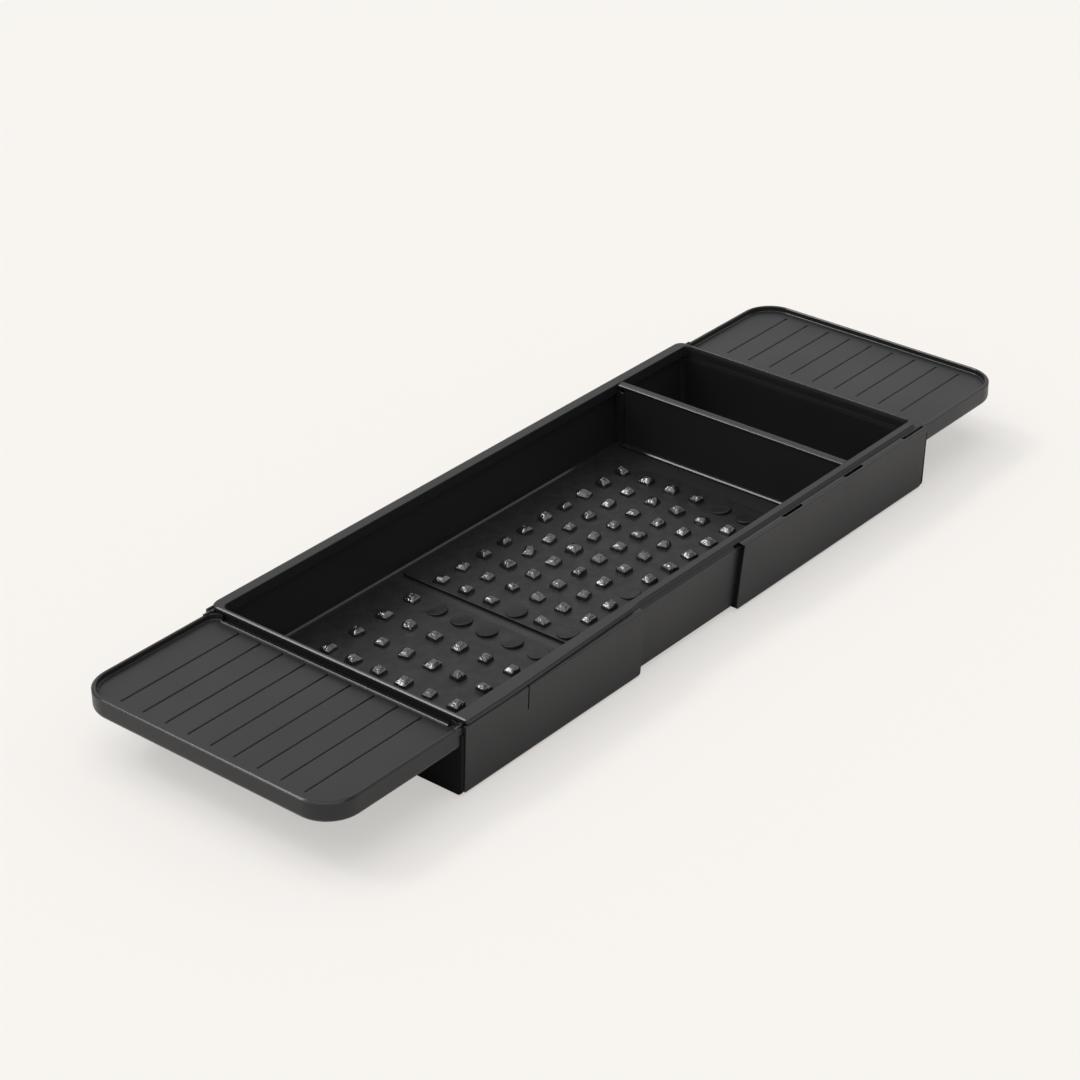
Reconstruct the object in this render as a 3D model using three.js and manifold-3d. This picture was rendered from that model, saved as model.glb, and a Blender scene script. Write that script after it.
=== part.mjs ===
// Extending bath caddy, in millimetres, +Z up.
// A long tray lies in two channel sleeves. Each sleeve carries a wing that rests on one side of the
// bath, and slides out along the tray's side rails, so that the caddy spans wider baths.
// While it is built, x = 0 is the outer face of the near sleeve; the group at the end centres it.

import * as THREE from "three";
import { mergeVertices } from "three/addons/utils/BufferGeometryUtils.js";
import Module from "manifold-3d";

// Overall
const BODY_LENGTH = 405; // over both sleeves, pushed home
const SLEEVE_WIDTH = 180; // over the sleeves' side faces at the top
const SLEEVE_HEIGHT = 41.2; // from a sleeve's underside to its top edge
const DRAFT_SHARE = 0.058; // how far every side wall leans in, per millimetre down

// Sleeves
const NEAR_SLEEVE_LENGTH = 141;
const FAR_SLEEVE_LENGTH = 181.5;
const SLEEVE_WALL = 2.6;
const SLEEVE_FLOOR = 1.6;
const SLEEVE_END_WALL = 2.4;
const SLEEVE_EDGE_RADIUS = 2.2; // along the bottom of each side face
const MOUTH_RADIUS = 5; // bottom corner of the open end, seen from the side
const END_RADIUS = 4.5; // bottom corner of the closed end, seen from the side
const FLANGE_WIDTH = 5.4; // top flange, turned in over the tray's rail
const FLANGE_THICKNESS = 1.8;
const SLIT_WIDTH = 0.7; // relief slit beside the near sleeve's catch
const SLIT_DEPTH = 14;
const SLIT_FROM_END = 47.5;

// Stops of the slide: windows in the flanges and the catches that click into them
const STEP_LENGTH = 58.5; // slide from one stop to the next
const WINDOW_LENGTH = 18;
const WINDOW_WEB = 0.8; // left between a window and the flange's edge
const WINDOW_DEPTH = 4;
const CATCH_LENGTH = 15;
const CATCH_WIDTH = 1;
const CATCH_HEIGHT = 0.25;
const CATCH_FROM_END = 13; // from a sleeve's closed end to the middle of the catch

// Tray
const TRAY_WALL = 2.4;
const TRAY_FLOOR = 1.5;
const TRAY_END_WALL = 1.8;
const END_DRAFT_SHARE = 0.025; // how far the inner end faces lean in, per millimetre down
const UPPER_WALL = 2.2; // side wall above the rail
const RAIL_THICKNESS = 2.2; // shoulder that the sleeves' flanges hook over
const LIP_WIDTH = 2.7;
const LIP_THICKNESS = 1.4;
const LIP_RISE = 2.2; // tray lip above the sleeves' top edge
const WIDE_LIP_SETBACK = 1.2; // from the sleeves' side faces; behind, and in front over the near sleeve
const LIP_CORNER_RADIUS = 5;
const NEAR_LIP_OVERHANG = 2.4; // past the tray's end wall, over the near wing's plate
const TRAY_CORNER_RADIUS = 4; // inside, in plan
const TRAY_FLOOR_FILLET = 2.5;
const TRAY_EDGE_RADIUS = 2;

// Divider and its grooves
const DIVIDER_FROM_END = 68.8; // from the far end face to the middle of the divider
const DIVIDER_THICKNESS = 2.2;
const DIVIDER_TOP_WIDTH = 5.6;
const DIVIDER_TOP_THICKNESS = 2;
const DIVIDER_FOOT_WIDTH = 11;
const DIVIDER_FOOT_THICKNESS = 1.4;
const DIVIDER_FILLET = 0.9; // where the panel meets its top and its foot
const DIVIDER_ENTRY = 1.3; // how far the panel reaches into its grooves
const GUIDE_THICKNESS = 1.6;
const GUIDE_DEPTH = 2.6; // from the floor's flat edge into the tray

// Studded mats
const MAT_MARGIN = 1.2; // from the floor's flat edge
const NEAR_MAT_THICKNESS = 0.6;
const NEAR_MAT_END = 128.5; // from the near end face
const MAIN_MAT_THICKNESS = 1.4;
const MAT_SPACE = 7.3; // between the two mats
const MAIN_MAT_FROM_DIVIDER = 19.7; // from the divider's middle
const MAT_CORNER_RADIUS = 4;
const STUD_BASE = 5.4;
const STUD_WAIST = 4.6;
const STUD_TOP = 3;
const STUD_HEIGHT = 2.4;
const STUD_SHOULDER_HEIGHT = 1.7;
const STUD_FROM_EDGE = 7.2; // least distance from a stud's middle to the mat's edge
const STUD_ROW_PITCH = 18;
const NEAR_STUD_START = 30.5; // from the near end face
const NEAR_STUD_PITCH = 22;
const MAIN_STUD_PITCH = 17.8;
const DISC_RADIUS = 5;
const DISC_HEIGHT = 0.7;
const DISC_SIDES = 14;
// Places of the main mat that hold a low disc and no stud, as column and row counts.
const DISC_PLACES = [
  [0, 1],
  [0, 3],
  [3, 1],
  [9, 1],
  [9, 2],
];

// Wings
const NEAR_WING_REACH = 93.5; // from the sleeve's end face to the wing's outer edge
const FAR_WING_REACH = 84;
const WING_SETBACK = 2.3; // wing's sides inside the sleeve's side faces
const WING_DEPTH = 11.8; // height of the wing's edge
const WING_BELOW_LIP = 3.2; // wing's top below the tray's lip
const WING_RECESS = 3.2; // plate below the wing's raised edge
const WING_PLATE = 2.2;
const WING_SKIRT = 2.4;
const WING_CORNER_RADIUS = 20;
const WING_EDGE_RADIUS = 2.6; // round bottom of the edge
const WING_TOP_RADIUS = 0.9; // round top of the edge
const WING_LIP_WIDTH = 2.6;
const WING_INNER_RADIUS = 6; // corners of the recess beside the tray
const WING_BEAD_WIDTH = 1.2; // raised edge of the plate against the tray
const WING_BEAD_HEIGHT = 0.5;
const GROOVE_WIDTH = 0.7;
const GROOVE_DEPTH = 0.5;
const GROOVE_PITCH = 15.8;
const NEAR_GROOVE_START = 3; // from the sleeve's end face
const FAR_GROOVE_START = 13;
const NEAR_GROOVE_STOP = 17; // from the wing's outer edge
const FAR_GROOVE_STOP = 8;
const LEG_THICKNESS = 2;
const LEG_CLEAR = 0.7; // leg's foot above the sleeve's underside
const LEG_INSET = 2.6; // leg's edges inside the sleeve's side faces
const ARM_LENGTH = 16; // arm that lies in the notch at the sleeve's end
const ARM_CLEAR = 0.35; // between an arm and each side of its notch
const ARM_THICKNESS = 1.2;
const ARM_ROOT = 5;
const GUSSET_THICKNESS = 2;
const GUSSET_REACH = 18;
const GUSSET_DROP = 18;
const GUSSET_FROM_SIDE = 28; // from the sleeve's side face

// Rubber strips pressed between ribs under the wings
const STRIP_WIDTH = 9.4;
const STRIP_FROM_SIDE = 18.7; // ends of a strip, from the wing's sides
const STRIP_PROUD = 0.8;
const STRIP_EDGE = 1;
const STRIP_RIB = 1.6;
const STRIP_RIB_CLEAR = 0.8; // ribs above the foot of the wing's edge
const STRIP_PLACE_SHARES = [0.36, 0.74]; // of the wing's reach

// Screws that hold the wings
const SCREW_AT = 40; // to each side of the middle
const SCREW_HEIGHT = 22;
const SCREW_HEAD_RADIUS = 3.1;
const SCREW_HEAD_HEIGHT = 1.4;
const SCREW_RADIUS = 1.5;
const SCREW_LENGTH = 9;
const SCREW_TIP = 1.5;
const SCREW_SLOT_WIDTH = 0.8;
const SCREW_SLOT_DEPTH = 0.7;
const BOSS_RADIUS = 3.8;
const BOSS_LENGTH = 8;
const ROUND_SIDES = 16;

// Feet under the sleeves
const FOOT_RADIUS = 6;
const FOOT_PROUD = 0.5;
const FOOT_RECESS = 0.5;
const FOOT_FROM_END = 16;
const FOOT_FROM_SIDE = 17;

// Clearances
const RUNNING_GAP = 0.5; // between the tray's sides and the sleeves
const FLOOR_GAP = 0.35; // between the tray's floor and the sleeves' floors
const RAIL_GAP = 0.4; // between the tray's rail and the sleeves' flanges
const END_GAP = 0.6; // between the tray's ends and the sleeves' ends
const SEAT_GAP = 0.25; // between pieces that are glued, pressed or stood on each other
const SCREW_GAP = 0.2;
const OVERRUN = 2; // how far every cutting solid runs past what it cuts

const ARC_STEPS = 5;
const SMALL_ARC_STEPS = 3;
const WIDE_ARC_STEPS = 9;

// Places worked out from the sizes above
const SLEEVE_UNDERSIDE = FOOT_PROUD;
const SLEEVE_TOP = SLEEVE_UNDERSIDE + SLEEVE_HEIGHT;
const SLEEVE_FLOOR_TOP = SLEEVE_UNDERSIDE + SLEEVE_FLOOR;
const FLANGE_UNDERSIDE = SLEEVE_TOP - FLANGE_THICKNESS;
const SLEEVE_SIDE = SLEEVE_WIDTH / 2;
const SLEEVE_INNER_SIDE = SLEEVE_SIDE - SLEEVE_WALL;
const FLANGE_SIDE = SLEEVE_SIDE - FLANGE_WIDTH;
const WINDOW_WIDTH = FLANGE_WIDTH - SLEEVE_WALL - WINDOW_WEB;
const WINDOW_SIDE = SLEEVE_INNER_SIDE - WINDOW_WIDTH / 2;

const TRAY_START = SLEEVE_END_WALL + END_GAP;
const TRAY_END = BODY_LENGTH - TRAY_START;
const TRAY_UNDERSIDE = SLEEVE_FLOOR_TOP + FLOOR_GAP;
const TRAY_FLOOR_TOP = TRAY_UNDERSIDE + TRAY_FLOOR;
const RAIL_TOP = FLANGE_UNDERSIDE - RAIL_GAP;
const TRAY_SIDE = SLEEVE_INNER_SIDE - RUNNING_GAP;
const UPPER_SIDE = FLANGE_SIDE - RUNNING_GAP;
const UPPER_INNER_SIDE = UPPER_SIDE - UPPER_WALL;
const LIP_INNER_SIDE = UPPER_SIDE - LIP_WIDTH;
const LIP_TOP = SLEEVE_TOP + LIP_RISE;
const LIP_UNDERSIDE = LIP_TOP - LIP_THICKNESS;
const CAVITY_START = TRAY_START + TRAY_END_WALL;
const CAVITY_END = TRAY_END - TRAY_END_WALL;

const WING_SIDE = SLEEVE_SIDE - WING_SETBACK;
const WING_TOP = LIP_TOP - WING_BELOW_LIP;
const WING_UNDERSIDE = WING_TOP - WING_DEPTH;
const PLATE_TOP = WING_TOP - WING_RECESS;
const PLATE_UNDERSIDE = PLATE_TOP - WING_PLATE;
const SLEEVE_END_TOP = PLATE_UNDERSIDE - SEAT_GAP;
const ARM_WIDTH = WINDOW_WIDTH - 2 * ARM_CLEAR;
const STRIP_SIDE = WING_SIDE - STRIP_FROM_SIDE;

// Half width at height z of a leaning side face whose half width at the sleeves' top is given.
const leaning = (side, z) => side - DRAFT_SHARE * (SLEEVE_TOP - z);

// Flat part of the tray's floor, inside its fillet.
const FLOOR_SIDE = leaning(TRAY_SIDE - TRAY_WALL, TRAY_FLOOR_TOP) - TRAY_FLOOR_FILLET;
const FLOOR_LEAN = END_DRAFT_SHARE * (LIP_TOP - TRAY_FLOOR_TOP);
const FLOOR_START = CAVITY_START + FLOOR_LEAN + TRAY_FLOOR_FILLET;

const DIVIDER_AT = BODY_LENGTH - DIVIDER_FROM_END;
const MAT_SIDE = FLOOR_SIDE - MAT_MARGIN;
const MAIN_MAT_START = NEAR_MAT_END + MAT_SPACE;
const MAIN_MAT_END = DIVIDER_AT - MAIN_MAT_FROM_DIVIDER;
const MAIN_STUD_START = MAIN_MAT_START + STUD_FROM_EDGE;
// As many as fit between a first place and a last one, at a given pitch.
const fitting = (first, last, pitch) => 1 + Math.floor((last - first) / pitch);
// As many as fit, symmetrical about the middle, with one on the middle.
const fittingAcross = (side, pitch) => 2 * fitting(0, side, pitch) - 1;

const wasm = await Module();
wasm.setup();

// A closed three.js geometry as a manifold solid.
function solid(geometry) {
  const bare = geometry.clone();
  bare.deleteAttribute("normal");
  bare.deleteAttribute("uv");
  const merged = mergeVertices(bare);
  return new wasm.Manifold(
    new wasm.Mesh({
      numProp: 3,
      vertProperties: merged.attributes.position.array,
      triVerts: new Uint32Array(merged.index.array),
    }),
  );
}

// A manifold solid as a named three.js mesh.
function piece(name, body, material) {
  const cut = body.getMesh();
  const geometry = new THREE.BufferGeometry();
  geometry.setAttribute("position", new THREE.BufferAttribute(cut.vertProperties, 3));
  geometry.setIndex(new THREE.BufferAttribute(cut.triVerts, 1));
  geometry.computeVertexNormals();
  const mesh = new THREE.Mesh(geometry, material);
  mesh.name = name;
  return mesh;
}

const axis = (x, y, z) => new THREE.Vector3(x, y, z);

// An outline extruded from one place to another, its own axes laid along the two given.
function extruded(outline, from, to, across, up) {
  const along = across.clone().cross(up);
  const shape = new THREE.Shape(outline.map(([a, b]) => new THREE.Vector2(a, b)));
  const geometry = new THREE.ExtrudeGeometry(shape, { depth: to - from, bevelEnabled: false });
  geometry.translate(0, 0, from);
  geometry.applyMatrix4(new THREE.Matrix4().makeBasis(across, up, along));
  return solid(geometry);
}

// A cross-section in y and z, run along x.
const alongX = (outline, from, to) => extruded(outline, from, to, axis(0, 1, 0), axis(0, 0, 1));
// A side view in x and z, run across y; it is the same on both sides of the middle.
const acrossY = (outline, side) => extruded(outline, -side, side, axis(1, 0, 0), axis(0, 0, 1));
// A plan in x and y, raised from one height to another.
const upright = (outline, from, to) => extruded(outline, from, to, axis(1, 0, 0), axis(0, 1, 0));

// A box between two corners.
function block(x0, x1, y0, y1, z0, z1) {
  const geometry = new THREE.BoxGeometry(Math.abs(x1 - x0), Math.abs(y1 - y0), Math.abs(z1 - z0));
  geometry.translate((x0 + x1) / 2, (y0 + y1) / 2, (z0 + z1) / 2);
  return solid(geometry);
}

// A skin over plan outlines at rising heights, each with as many points, closed at both ends.
function stacked(rings) {
  const count = rings[0].plan.length;
  const turned = THREE.ShapeUtils.area(rings[0].plan.map(([x, y]) => new THREE.Vector2(x, y))) < 0;
  const points = rings.flatMap(({ z, plan }) =>
    (turned ? [...plan].reverse() : plan).map(([x, y]) => axis(x, y, z)),
  );
  const faces = [];
  for (let ring = 1; ring < rings.length; ring++) {
    for (let i = 0; i < count; i++) {
      const a = (ring - 1) * count + i;
      const b = (ring - 1) * count + ((i + 1) % count);
      faces.push([a, b, b + count], [a, b + count, a + count]);
    }
  }
  const last = (rings.length - 1) * count;
  const cap = (start) =>
    THREE.ShapeUtils.triangulateShape(
      points.slice(start, start + count).map((p) => new THREE.Vector2(p.x, p.y)),
      [],
    ).map((face) => face.map((i) => i + start));
  faces.push(...cap(0).map(([a, b, c]) => [a, c, b]), ...cap(last));
  const geometry = new THREE.BufferGeometry().setFromPoints(points);
  geometry.setIndex(faces.flat());
  return solid(geometry);
}

// Points of an arc about (x, y), from one angle to another in quarter turns.
function arc(x, y, radius, from, to, steps = ARC_STEPS) {
  return Array.from({ length: steps + 1 }, (_, i) => {
    const angle = ((from + ((to - from) * i) / steps) * Math.PI) / 2;
    return [x + radius * Math.cos(angle), y + radius * Math.sin(angle)];
  });
}

// A rectangle with round corners, symmetrical about the middle, from one x to another.
function roundedPlan(x0, x1, side, radius, steps = ARC_STEPS) {
  return [
    ...arc(x1 - radius, side - radius, radius, 0, 1, steps),
    ...arc(x0 + radius, side - radius, radius, 1, 2, steps),
    ...arc(x0 + radius, radius - side, radius, 2, 3, steps),
    ...arc(x1 - radius, radius - side, radius, 3, 4, steps),
  ];
}

// A half outline in y and z, given from the middle outwards, with its mirror image.
const mirrored = (half) => [...half, ...[...half].reverse().map(([y, z]) => [-y, z])];

// Channel sleeve: floor, leaning sides and the flanges turned in over the tray's rails.
function channel() {
  const bottom = leaning(SLEEVE_SIDE, SLEEVE_UNDERSIDE);
  const inner = leaning(SLEEVE_INNER_SIDE, SLEEVE_FLOOR_TOP);
  const round = SLEEVE_EDGE_RADIUS;
  return mirrored([
    ...arc(bottom - round, SLEEVE_UNDERSIDE + round, round, -1, 0),
    [SLEEVE_SIDE, SLEEVE_TOP],
    [FLANGE_SIDE, SLEEVE_TOP],
    [FLANGE_SIDE, FLANGE_UNDERSIDE],
    [leaning(SLEEVE_INNER_SIDE, FLANGE_UNDERSIDE), FLANGE_UNDERSIDE],
    [inner, SLEEVE_FLOOR_TOP + TRAY_EDGE_RADIUS],
    [inner - TRAY_EDGE_RADIUS, SLEEVE_FLOOR_TOP],
  ]);
}

// A slot through the flange, round at both ends, on one side.
function window(middle, side) {
  const round = WINDOW_WIDTH / 2;
  const half = WINDOW_LENGTH / 2;
  const plan = roundedPlan(middle - half, middle + half, round, round, SMALL_ARC_STEPS);
  const slot = upright(plan, SLEEVE_TOP - WINDOW_DEPTH, SLEEVE_TOP + OVERRUN);
  return slot.translate([0, side * WINDOW_SIDE, 0]);
}

// One sleeve. Its closed end lies at x = end, and `out` is the direction that it slides out in.
function sleeve({ end, out, length, windows, slit }) {
  const at = (inwards) => end - out * inwards;
  const [low, high] = [Math.min(end, at(length)), Math.max(end, at(length))];
  const profile = [
    [at(0), SLEEVE_TOP],
    ...corner(at(END_RADIUS), SLEEVE_UNDERSIDE + END_RADIUS, END_RADIUS, out),
    ...corner(at(length - MOUTH_RADIUS), SLEEVE_UNDERSIDE + MOUTH_RADIUS, MOUTH_RADIUS, -out).reverse(),
    [at(length), SLEEVE_TOP],
  ];
  const wallSide = leaning(SLEEVE_INNER_SIDE, SLEEVE_UNDERSIDE);
  const endPlan = [
    [-wallSide, SLEEVE_UNDERSIDE + SLEEVE_FLOOR / 2],
    [wallSide, SLEEVE_UNDERSIDE + SLEEVE_FLOOR / 2],
    [leaning(SLEEVE_INNER_SIDE, SLEEVE_END_TOP) + SLEEVE_WALL / 2, SLEEVE_END_TOP],
    [-leaning(SLEEVE_INNER_SIDE, SLEEVE_END_TOP) - SLEEVE_WALL / 2, SLEEVE_END_TOP],
  ];
  let body = alongX(channel(), low, high);
  body = body.add(alongX(endPlan, Math.min(end, at(SLEEVE_END_WALL)), Math.max(end, at(SLEEVE_END_WALL))));
  body = body.intersect(acrossY(profile, SLEEVE_SIDE + OVERRUN));
  const wide = SLEEVE_SIDE + OVERRUN;
  for (const side of [1, -1]) {
    for (const step of windows) {
      body = body.subtract(window(at(CATCH_FROM_END + step * STEP_LENGTH), side));
    }
    // An open notch for the wing's arm at the closed end.
    const half = WINDOW_WIDTH / 2;
    const notch = [side * WINDOW_SIDE - half, side * WINDOW_SIDE + half];
    const notchEnd = at(CATCH_FROM_END + WINDOW_LENGTH / 2);
    body = body.subtract(block(notchEnd, at(0), ...notch, FLANGE_UNDERSIDE, SLEEVE_TOP + OVERRUN));
    if (slit) {
      const slitLow = at(SLIT_FROM_END) - SLIT_WIDTH / 2;
      const ySpan = [side * (FLANGE_SIDE - OVERRUN), side * wide];
      const zSpan = [SLEEVE_TOP - SLIT_DEPTH, SLEEVE_TOP + OVERRUN];
      body = body.subtract(block(slitLow, slitLow + SLIT_WIDTH, ...ySpan, ...zSpan));
    }
    const hole = screwAxis(end, out, side * SCREW_AT);
    body = body.subtract(hole(SCREW_RADIUS + SCREW_GAP, -SLEEVE_END_WALL - OVERRUN, OVERRUN));
    body = body.subtract(screwHead(SCREW_GAP, OVERRUN, hole));
  }
  for (const [x, y] of footPlaces(end, out, length)) {
    body = body.subtract(disc(x, y, FOOT_RADIUS + SEAT_GAP, -OVERRUN, SLEEVE_UNDERSIDE + FOOT_RECESS));
  }
  return body;
}

// A quarter-round bottom corner of a side view; `out` says which way it faces.
function corner(x, z, radius, out) {
  return arc(0, 0, radius, 0, -1, ARC_STEPS).map(([dx, dz]) => [x + out * dx, z + dz]);
}

// An upright cylinder between two heights.
function disc(x, y, radius, from, to, sides = ROUND_SIDES) {
  const geometry = new THREE.CylinderGeometry(radius, radius, to - from, sides);
  geometry.rotateX(Math.PI / 2);
  geometry.translate(x, y, (from + to) / 2);
  return solid(geometry);
}

// Makes cylinders and cones on a screw's axis; distances run outwards from the sleeve's end face.
function screwAxis(end, out, y) {
  return (radius, from, to, endRadius = radius) => {
    const geometry = new THREE.CylinderGeometry(endRadius, radius, to - from, ROUND_SIDES);
    geometry.translate(0, (from + to) / 2, 0);
    geometry.rotateZ((-out * Math.PI) / 2);
    geometry.translate(end, y, SCREW_HEIGHT);
    return solid(geometry);
  };
}

// The countersunk head, or the seat for one when it has a gap and runs on inwards.
function screwHead(gap, run, on) {
  const inner = -SLEEVE_END_WALL;
  const cone = on(SCREW_HEAD_RADIUS + gap, inner, inner + SCREW_HEAD_HEIGHT + gap, SCREW_RADIUS + gap);
  return run > 0 ? cone.add(on(SCREW_HEAD_RADIUS + gap, inner - run, inner)) : cone;
}

function screw(end, out, y) {
  const on = screwAxis(end, out, y);
  const inner = -SLEEVE_END_WALL;
  const tip = inner + SCREW_LENGTH;
  const slot = SCREW_SLOT_WIDTH / 2;
  const face = end - out * SLEEVE_END_WALL;
  return screwHead(0, 0, on)
    .add(on(SCREW_RADIUS, inner + SCREW_HEAD_HEIGHT / 2, tip - SCREW_TIP))
    .add(on(SCREW_RADIUS, tip - SCREW_TIP, tip, SCREW_RADIUS / 3))
    .subtract(
      block(
        face - out * OVERRUN,
        face + out * SCREW_SLOT_DEPTH,
        y - SCREW_HEAD_RADIUS - OVERRUN,
        y + SCREW_HEAD_RADIUS + OVERRUN,
        SCREW_HEIGHT - slot,
        SCREW_HEIGHT + slot,
      ),
    );
}

// Middles of a sleeve's two pairs of feet.
function footPlaces(end, out, length) {
  const y = SLEEVE_SIDE - FOOT_FROM_SIDE;
  return [
    [end - out * FOOT_FROM_END, y],
    [end - out * FOOT_FROM_END, -y],
    [end - out * (length - FOOT_FROM_END), y],
    [end - out * (length - FOOT_FROM_END), -y],
  ];
}

// Outer section of the tray: leaning sides, the rail shoulder, the upper wall and the lip.
function traySection() {
  const bottom = leaning(TRAY_SIDE, TRAY_UNDERSIDE);
  return mirrored([
    ...arc(bottom - TRAY_EDGE_RADIUS, TRAY_UNDERSIDE + TRAY_EDGE_RADIUS, TRAY_EDGE_RADIUS, -1, 0),
    [leaning(TRAY_SIDE, RAIL_TOP), RAIL_TOP],
    [UPPER_SIDE, RAIL_TOP],
    [UPPER_SIDE, LIP_TOP],
  ]);
}

// The hollow of the tray: a wide lower part with a fillet round its floor, and a narrower throat.
function trayHollow() {
  const ceiling = RAIL_TOP - RAIL_THICKNESS;
  const planAt = (z, inset) => {
    const lean = END_DRAFT_SHARE * (LIP_TOP - z);
    const side = leaning(TRAY_SIDE - TRAY_WALL, z) - inset;
    return roundedPlan(CAVITY_START + lean + inset, CAVITY_END - lean - inset, side, TRAY_CORNER_RADIUS);
  };
  const fillet = Array.from({ length: SMALL_ARC_STEPS + 1 }, (_, i) => {
    const angle = (i / SMALL_ARC_STEPS) * (Math.PI / 2);
    const z = TRAY_FLOOR_TOP + TRAY_FLOOR_FILLET * (1 - Math.cos(angle));
    return { z, plan: planAt(z, TRAY_FLOOR_FILLET * (1 - Math.sin(angle))) };
  });
  const throatLean = END_DRAFT_SHARE * (LIP_TOP - ceiling);
  const throat = (side, lean) =>
    roundedPlan(CAVITY_START + lean, CAVITY_END - lean, side, TRAY_CORNER_RADIUS);
  return stacked([...fillet, { z: ceiling, plan: planAt(ceiling, 0) }])
    .add(
      stacked([
        { z: ceiling - UPPER_WALL, plan: throat(UPPER_INNER_SIDE, throatLean) },
        { z: LIP_UNDERSIDE, plan: throat(UPPER_INNER_SIDE, 0) },
      ]),
    )
    .add(upright(throat(LIP_INNER_SIDE, 0), LIP_UNDERSIDE - LIP_THICKNESS, LIP_TOP + OVERRUN));
}

function tray() {
  const section = alongX(traySection(), TRAY_START, TRAY_END);
  const profile = [
    [TRAY_START, LIP_TOP],
    ...corner(TRAY_START + END_RADIUS, TRAY_UNDERSIDE + END_RADIUS, END_RADIUS, -1),
    ...corner(TRAY_END - END_RADIUS, TRAY_UNDERSIDE + END_RADIUS, END_RADIUS, 1).reverse(),
    [TRAY_END, LIP_TOP],
  ];
  const outer = section.intersect(acrossY(profile, SLEEVE_SIDE));
  // The wide lip runs along the whole back, and in front as far as the near sleeve reaches.
  const wideSide = SLEEVE_SIDE - WIDE_LIP_SETBACK;
  const lipTo = (x) => {
    const plan = roundedPlan(TRAY_START - NEAR_LIP_OVERHANG, x, wideSide, LIP_CORNER_RADIUS);
    return upright(plan, LIP_UNDERSIDE, LIP_TOP);
  };
  const back = block(TRAY_START, TRAY_END, 0, SLEEVE_SIDE, LIP_UNDERSIDE - OVERRUN, LIP_TOP + OVERRUN);
  const wideLip = lipTo(NEAR_SLEEVE_LENGTH).add(lipTo(TRAY_END).intersect(back));
  let body = outer.add(wideLip).subtract(trayHollow());

  // Two upright ribs on each side make the groove for the divider.
  const inside = FLOOR_SIDE - GUIDE_DEPTH;
  const groove = DIVIDER_THICKNESS / 2 + SEAT_GAP;
  for (const side of [1, -1]) {
    for (const face of [1, -1]) {
      const near = DIVIDER_AT + face * groove;
      const far = near + face * GUIDE_THICKNESS;
      const ySpan = [side * inside, side * SLEEVE_SIDE];
      const rib = block(near, far, ...ySpan, TRAY_FLOOR_TOP - TRAY_FLOOR / 2, RAIL_TOP);
      body = body.add(rib.intersect(outer));
    }
    // Low catches on the rails, under the flanges' windows.
    const outerFace = TRAY_SIDE - RUNNING_GAP / 2;
    for (const middle of [CATCH_FROM_END, BODY_LENGTH - CATCH_FROM_END]) {
      body = body.add(
        block(
          middle - CATCH_LENGTH / 2,
          middle + CATCH_LENGTH / 2,
          side * (outerFace - CATCH_WIDTH),
          side * outerFace,
          RAIL_TOP - RAIL_THICKNESS / 2,
          RAIL_TOP + CATCH_HEIGHT,
        ).intersect(alongX(catchBand(), TRAY_START, TRAY_END)),
      );
    }
  }
  return body;
}

// The space that a catch may fill: over the rail, inside the tray's outer face.
function catchBand() {
  const low = RAIL_TOP - RAIL_THICKNESS;
  const top = RAIL_TOP + CATCH_HEIGHT;
  const side = leaning(TRAY_SIDE, RAIL_TOP);
  return [
    [-side, low],
    [side, low],
    [side, top],
    [-side, top],
  ];
}

// Divider: a panel with a wide top and foot, whose edges drop into the tray's grooves.
function divider() {
  const base = TRAY_FLOOR_TOP + SEAT_GAP;
  const footTop = base + DIVIDER_FOOT_THICKNESS;
  const topUnder = LIP_TOP - DIVIDER_TOP_THICKNESS;
  const half = DIVIDER_THICKNESS / 2;
  const flare = half + DIVIDER_FILLET;
  const halfOutline = [
    [DIVIDER_FOOT_WIDTH / 2, base],
    [DIVIDER_FOOT_WIDTH / 2, footTop],
    ...arc(flare, footTop + DIVIDER_FILLET, DIVIDER_FILLET, 3, 2, SMALL_ARC_STEPS),
    ...arc(flare, topUnder - DIVIDER_FILLET, DIVIDER_FILLET, 2, 1, SMALL_ARC_STEPS),
    [DIVIDER_TOP_WIDTH / 2, topUnder],
    [DIVIDER_TOP_WIDTH / 2, LIP_TOP],
  ];
  const outline = mirrored(halfOutline).map(([x, z]) => [DIVIDER_AT + x, z]);
  const topSide = LIP_INNER_SIDE - SEAT_GAP;
  const panelSide = FLOOR_SIDE - GUIDE_DEPTH + DIVIDER_ENTRY;
  const footSide = FLOOR_SIDE - GUIDE_DEPTH - SEAT_GAP;
  const footCut = base + DIVIDER_FOOT_THICKNESS + TRAY_FLOOR_FILLET;
  let body = acrossY(outline, topSide);
  const [low, high] = [DIVIDER_AT - DIVIDER_FOOT_WIDTH, DIVIDER_AT + DIVIDER_FOOT_WIDTH];
  const topCut = topUnder - DIVIDER_FILLET;
  for (const side of [1, -1]) {
    const past = side * (topSide + OVERRUN);
    body = body.subtract(block(low, high, side * panelSide, past, base - OVERRUN, topCut));
    body = body.subtract(block(low, high, side * footSide, past, base - OVERRUN, footCut));
  }
  return body;
}

// One stud of a mat: a block that tapers to a bevelled top.
function stud(x, y, base) {
  const square = (width) =>
    [
      [1, 1],
      [-1, 1],
      [-1, -1],
      [1, -1],
    ].map(([i, j]) => [x + (i * width) / 2, y + (j * width) / 2]);
  return stacked([
    { z: base - NEAR_MAT_THICKNESS / 2, plan: square(STUD_BASE) },
    { z: base + STUD_SHOULDER_HEIGHT, plan: square(STUD_WAIST) },
    { z: base + STUD_HEIGHT, plan: square(STUD_TOP) },
  ]);
}

const STUD_ROWS = fittingAcross(MAT_SIDE - STUD_FROM_EDGE, STUD_ROW_PITCH);
const rowAt = (row) => (row - (STUD_ROWS - 1) / 2) * STUD_ROW_PITCH;

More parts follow.
